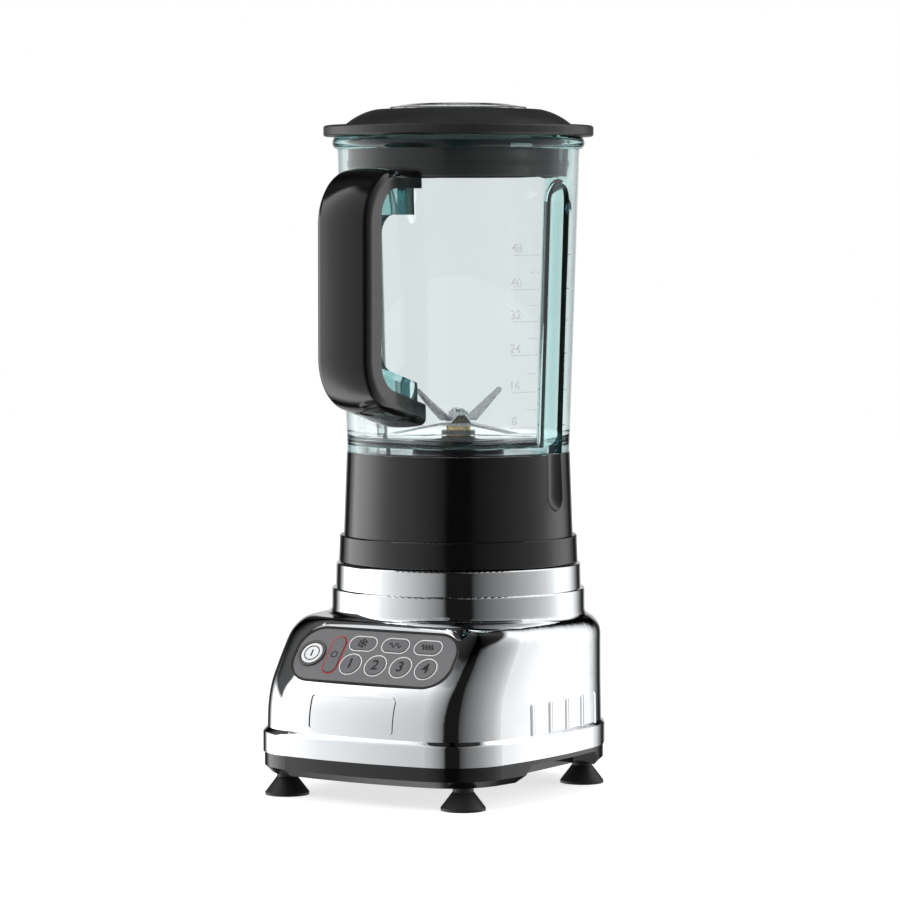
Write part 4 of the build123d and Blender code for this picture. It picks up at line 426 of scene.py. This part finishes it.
# Print on the key panel: rims round the keys, figures and icons on them; at its edge a dark strip that
# stands partly for the panel's gap and partly for painted shade and reflection of the recess wall
PRINT_T = 0.00012
RIM_GAP, RIM_OUT = 0.00032, 0.0009
PANEL_SIZE, PANEL_CORNER = (0.109, 0.038), 0.016
# Dark strip at the panel's edge, partly its gap and partly painted shade of the recess wall: inset, outer
# edge and height
GAP_SHADE_IN, GAP_SHADE_OUT, GAP_SHADE_T = -0.0012, -0.0001, 0.0005
ROUND_KEYS, ROUND_KEY_R, ROUND_KEY_UP = 4, 0.0064, -0.0056
ROUND_KEY_FIRST, ROUND_KEY_PITCH = -0.0138, 0.017
KEY_FIGURE_H = 0.0064
OBLONG_KEYS = {"ice_key": -0.011, "low_pulse_key": 0.011, "high_pulse_key": 0.033}
OBLONG_KEY, OBLONG_KEY_R, OBLONG_KEY_UP = (0.017, 0.0086), 0.0043, 0.0088
ICE_REACH, ICE_LINE = 0.0032, 0.0005
WAVE_L, WAVE_LINE = 0.008, 0.00055
PULSES = {"low_pulse_key": (0.0028, 2), "high_pulse_key": (0.0036, 4)}
STOP_AT, STOP_KEY, STOP_KEY_R = (-0.027, 0.0), (0.0086, 0.0244), 0.0043
STOP_RING = (0.0016, 0.0022)
POWER_AT = (-0.0424, 0.0)
POWER_RING = (0.0044, 0.005)
POWER_BAR_L, POWER_BAR_W = 0.0042, 0.0009
POWER_RIM_T = 0.0008
SURROUND_IN, SURROUND_OUT = 0.0072, 0.00872
PANEL_FACE = face_height("control_panel") - POWER_RIM_T
PANEL_TURN = Matrix((PANEL_X, PANEL_UP, PANEL_N)).transposed().to_4x4()


def key_rim(key, spot, size, radius, material):
    """Printed rim on the panel round a key."""
    inner = rounded(*spot, *size, radius, RIM_GAP)
    outer = rounded(*spot, *size, radius, RIM_OUT)
    low, high = PANEL_FACE - PRINT_T, PANEL_FACE + PRINT_T
    band(key + "_rim", inner, outer, low, high, "base", material)


def key_print(key, lines, width):
    """Printed lines on a key."""
    face = face_height(key)
    low, high = face - PRINT_T, face + PRINT_T
    ribbons(key + "_icon", lines, width, low, high, key + "_body", DARK_PRINT)


def key_ring(key, spot, inside, outside):
    """Printed ring on a key."""
    face = face_height(key)
    low, high = face - PRINT_T, face + PRINT_T
    inner, outer = round_loop(spot, inside), round_loop(spot, outside)
    band(key + "_ring", inner, outer, low, high, key + "_body", DARK_PRINT)


for number in range(1, ROUND_KEYS + 1):
    key = f"speed_key_{number}"
    spot = (ROUND_KEY_FIRST + ROUND_KEY_PITCH * (number - 1), ROUND_KEY_UP)
    key_rim(key, spot, (2 * ROUND_KEY_R, 2 * ROUND_KEY_R), ROUND_KEY_R, WHITE_PRINT)
    mesh = figures(str(number), KEY_FIGURE_H, PRINT_T)
    mesh.transform(Matrix.Translation(on_panel(*spot, face_height(key))) @ PANEL_TURN)
    carry(key + "_number", mesh, key + "_body", DARK_PRINT)

for key, across in OBLONG_KEYS.items():
    key_rim(key, (across, OBLONG_KEY_UP), OBLONG_KEY, OBLONG_KEY_R, WHITE_PRINT)
key_print("ice_key", snowflake(OBLONG_KEYS["ice_key"], OBLONG_KEY_UP, ICE_REACH), ICE_LINE)
for key, (wave_h, turns) in PULSES.items():
    key_print(key, [wave(OBLONG_KEYS[key], OBLONG_KEY_UP, WAVE_L, wave_h, turns)], WAVE_LINE)

key_rim("stop_key", STOP_AT, STOP_KEY, STOP_KEY_R, RED_PRINT)
key_ring("stop_key", STOP_AT, *STOP_RING)
key_ring("power_key", POWER_AT, *POWER_RING)
power_bar = [(POWER_AT[0], -POWER_BAR_L / 2), (POWER_AT[0], POWER_BAR_L / 2)]
key_print("power_key", [power_bar], POWER_BAR_W)
band(
    "power_surround",
    round_loop(POWER_AT, SURROUND_IN),
    round_loop(POWER_AT, SURROUND_OUT),
    PANEL_FACE - PRINT_T,
    PANEL_FACE + POWER_RIM_T + PRINT_T,
    "base",
    MATERIALS["black_plastic"],
)
# Black strip round the panel's edge: partly the gap, partly painted shade and painted reflection of the
# recess wall
band(
    "panel_gap_and_shade_strip",
    rounded(0, 0, *PANEL_SIZE, PANEL_CORNER, GAP_SHADE_IN),
    rounded(0, 0, *PANEL_SIZE, PANEL_CORNER, GAP_SHADE_OUT),
    PANEL_FACE - PRINT_T,
    PANEL_FACE + GAP_SHADE_T,
    "base",
    MATERIALS["black_rubber"],
)


# Scale on the glass: long lines with their amounts, short lines between them, ticks beside the flute
MARK_W, MARK_LOW, MARK_HIGH = 0.00055, 0.00002, 0.00014
LONG_LINE, SHORT_LINE, FAR_TICK = (58.7, 74.5), (68.8, 74.5), (103.0, 110.0)
SCALE_TURN, SCALE_FIGURE_H, SCALE_FIGURE_UP = 61.0, 0.005, 0.0038
SCALE_Z = [0.2127, 0.2333, 0.2545, 0.2738, 0.2922, 0.3119]
SCALE_STEP = 8


def on_jug(turn, z, out):
    """Point on the glass: turned from the front towards the right, at a height and out from its face."""
    radius = jug_radius(z) + out
    return Vector((radius * math.sin(turn), AXIS_Y - radius * math.cos(turn), z))


def jug_bar(shape, start, end, z):
    """Raised line round the glass between two angles in degrees."""
    half = MARK_W / 2
    corners = ((-half, MARK_LOW), (half, MARK_LOW), (half, MARK_HIGH), (-half, MARK_HIGH))
    rings = []
    for k in range(BAR_STEPS + 1):
        turn = math.radians(start + (end - start) * k / BAR_STEPS)
        rings.append([shape.verts.new(on_jug(turn, z + rise, out)) for rise, out in corners])
    tube(shape, rings)


lines = bmesh.new()
for k, z in enumerate(SCALE_Z):
    jug_bar(lines, *LONG_LINE, z)
    jug_bar(lines, *FAR_TICK, z)
    if k:
        between = (z + SCALE_Z[k - 1]) / 2
        jug_bar(lines, *SHORT_LINE, between)
    amount = str(SCALE_STEP * (k + 1))
    mesh = figures(amount, SCALE_FIGURE_H, MARK_HIGH)
    for vertex in mesh.vertices:
        level = z + SCALE_FIGURE_UP + vertex.co.y
        turn = math.radians(SCALE_TURN) + vertex.co.x / jug_radius(level)
        vertex.co = on_jug(turn, level, MARK_LOW + vertex.co.z)
    carry("scale_" + amount, mesh, "jug", FROSTED_MARKS)
closed("scale_lines", lines, "jug", FROSTED_MARKS)

# World: white for the eye; softboxes with dark gaps for reflections; dark sides for what glass bends
world = bpy.data.worlds.new("studio")
bpy.context.scene.world = world
world.use_nodes = True
sky = world.node_tree
sky.nodes.clear()


def along(tree, vector, direction):
    """Length of a vector along a direction."""
    node = add(tree, "ShaderNodeVectorMath", operation="DOT_PRODUCT")
    node.inputs[1].default_value = direction
    tree.links.new(vector, node.inputs[0])
    return node.outputs["Value"]


def multiply(tree, first, second):
    """Product of two grey levels."""
    node = add(tree, "ShaderNodeMix", data_type="RGBA", blend_type="MULTIPLY")
    node.inputs["Factor"].default_value = 1.0
    tree.links.new(first, node.inputs["A"])
    tree.links.new(second, node.inputs["B"])
    return node.outputs["Result"]


def choose(tree, factor, first, second):
    """Shader that goes from the first to the second with a factor."""
    node = add(tree, "ShaderNodeMixShader")
    tree.links.new(factor, node.inputs["Fac"])
    tree.links.new(first, node.inputs[1])
    tree.links.new(second, node.inputs[2])
    return node.outputs["Shader"]


# Light round the room by angle from the camera, negative to its left, in degrees
ROUND_THE_ROOM = [
    (-180, 0.6), (-165, 0.55), (-160, 0.03), (-148, 0.03), (-138, 0.8), (-130, 2.1), (-106, 2.4), (-95, 2.0),
    (-84, 1.4), (-74, 1.0), (-60, 0.75), (-47, 0.6), (-34, 0.44), (-22, 0.29), (-15, 0.18),
    (-11, 0.01), (12, 0.01), (15, 0.07), (27, 0.157), (50, 0.305), (76, 0.54), (90, 0.75),
    (98, 0.95), (107, 1.3), (117, 1.4), (129, 1.05), (142, 0.3), (150, 0.03), (160, 0.03),
    (165, 0.55), (180, 0.6),
]
# Light by height, in front of the blender and behind it, and where one takes over from the other
UP_IN_FRONT = [(-1.0, 1.0), (0.84, 1.0), (0.9, 0.04), (1.0, 0.04)]
UP_BEHIND = [(-1.0, 1.0), (0.12, 1.0), (0.24, 0.04), (1.0, 0.04)]
FRONT_TO_BACK = [(-180, 1.0), (-107, 1.0), (-101, 0.0), (136, 0.0), (146, 1.0), (180, 1.0)]
# Light that glass bends towards the eye, by the same angle
BEHIND_THE_GLASS = [
    (-180, 1.0), (-148, 1.0), (-128, 0.25), (-100, 0.1), (100, 0.1), (128, 0.25), (148, 1.0), (180, 1.0),
]
PLAIN_LIGHT = 0.75
way = add(sky, "ShaderNodeTexCoord").outputs["Generated"]
angle = degrees_round(sky, along(sky, way, TO_RIGHT), along(sky, way, TO_CAMERA))
around = grey_ramp(sky, angle, ROUND_THE_ROOM)
height = along(sky, way, (0, 0, 1))
upward = add(sky, "ShaderNodeMix", data_type="RGBA")
sky.links.new(grey_ramp(sky, angle, FRONT_TO_BACK), upward.inputs["Factor"])
sky.links.new(grey_ramp(sky, height, UP_IN_FRONT), upward.inputs["A"])
sky.links.new(grey_ramp(sky, height, UP_BEHIND), upward.inputs["B"])
glossy_sky = add(sky, "ShaderNodeBackground", Strength=1.0)
sky.links.new(multiply(sky, around, upward.outputs["Result"]), glossy_sky.inputs["Color"])
clear_sky = add(sky, "ShaderNodeBackground", Strength=1.0)
sky.links.new(grey_ramp(sky, angle, BEHIND_THE_GLASS), clear_sky.inputs["Color"])
plain_sky = add(sky, "ShaderNodeBackground", Color=(1, 1, 1, 1), Strength=PLAIN_LIGHT)
white_sky = add(sky, "ShaderNodeBackground", Color=(1, 1, 1, 1), Strength=1.0)
rays = add(sky, "ShaderNodeLightPath")
lit = plain_sky.outputs["Background"]
for kind, light in (("Glossy", glossy_sky), ("Transmission", clear_sky), ("Camera", white_sky)):
    lit = choose(sky, rays.outputs[f"Is {kind} Ray"], lit, light.outputs["Background"])
sky_out = add(sky, "ShaderNodeOutputWorld")
sky.links.new(lit, sky_out.inputs["Surface"])

# Floor: near white to the eye and through glass, with the object's shadow; mirrors see the room instead
FLOOR_SIDES, FLOOR_R, FLOOR_Z = 96, 4.0, -0.0002
FLOOR_TONE, FLOOR_ROUGH, FLOOR_GLOW = 0.5, 0.9, 0.72
bpy.ops.mesh.primitive_circle_add(
    vertices=FLOOR_SIDES, radius=FLOOR_R, fill_type="NGON", location=(0, 0, FLOOR_Z)
)
floor = bpy.context.object
floor.name = "floor"
floor.visible_glossy = False
floor_material, ground, ground_shader = new_material("floor")
ground_shader.inputs["Base Color"].default_value = (FLOOR_TONE, FLOOR_TONE, FLOOR_TONE, 1)
ground_shader.inputs["Roughness"].default_value = FLOOR_ROUGH
ground_shader.inputs["Specular IOR Level"].default_value = 0.0
ground_rays = add(ground, "ShaderNodeLightPath")
ground_seen = larger(
    ground, ground_rays.outputs["Is Camera Ray"], ground_rays.outputs["Is Transmission Ray"]
)
ground_glow = add(ground, "ShaderNodeEmission", Strength=FLOOR_GLOW)
ground_black = add(ground, "ShaderNodeEmission", Strength=0.0)
glow = choose(
    ground, ground_seen, ground_black.outputs["Emission"], ground_glow.outputs["Emission"]
)
floor_sum = add(ground, "ShaderNodeAddShader")
ground.links.new(ground_shader.outputs["BSDF"], floor_sum.inputs[0])
ground.links.new(glow, floor_sum.inputs[1])
ground.links.new(floor_sum.outputs["Shader"], ground.nodes["Material Output"].inputs["Surface"])
floor.data.materials.append(floor_material)


LIGHTS_AIM = Vector((0, 0, 0.2))


def softbox(name, place, size, power):
    """Area light aimed at the blender, left out of mirror reflections that the world already gives."""
    light = bpy.data.lights.new(name, "AREA")
    light.shape = "RECTANGLE"
    light.size, light.size_y = size
    light.energy = power
    lamp = link(bpy.data.objects.new(name, light))
    lamp.location = place
    lamp.rotation_euler = (LIGHTS_AIM - Vector(place)).to_track_quat("-Z", "Y").to_euler()
    lamp.visible_glossy = False


softbox("key_light", (-1.4, -1.6, 1.5), (1.2, 1.2), 26)
softbox("side_light", (1.9, 0.2, 1.1), (0.9, 1.4), 18)
softbox("top_light", (0, 0.2, 2.2), (1.4, 1.4), 18)

# Camera
camera_data = bpy.data.cameras.new("camera")
camera_data.lens = LENS_MM
camera_data.sensor_width = SENSOR_MM
camera_data.clip_end = 20
camera = link(bpy.data.objects.new("camera", camera_data))
camera.location = CAMERA_AT
camera.rotation_euler = (math.pi / 2 - CAMERA_TILT, 0, CAMERA_AZIMUTH)
scene = bpy.context.scene
scene.camera = camera
scene.view_settings.view_transform = "Standard"
scene.cycles.max_bounces = 24
scene.cycles.glossy_bounces = 16
scene.cycles.transmission_bounces = 24
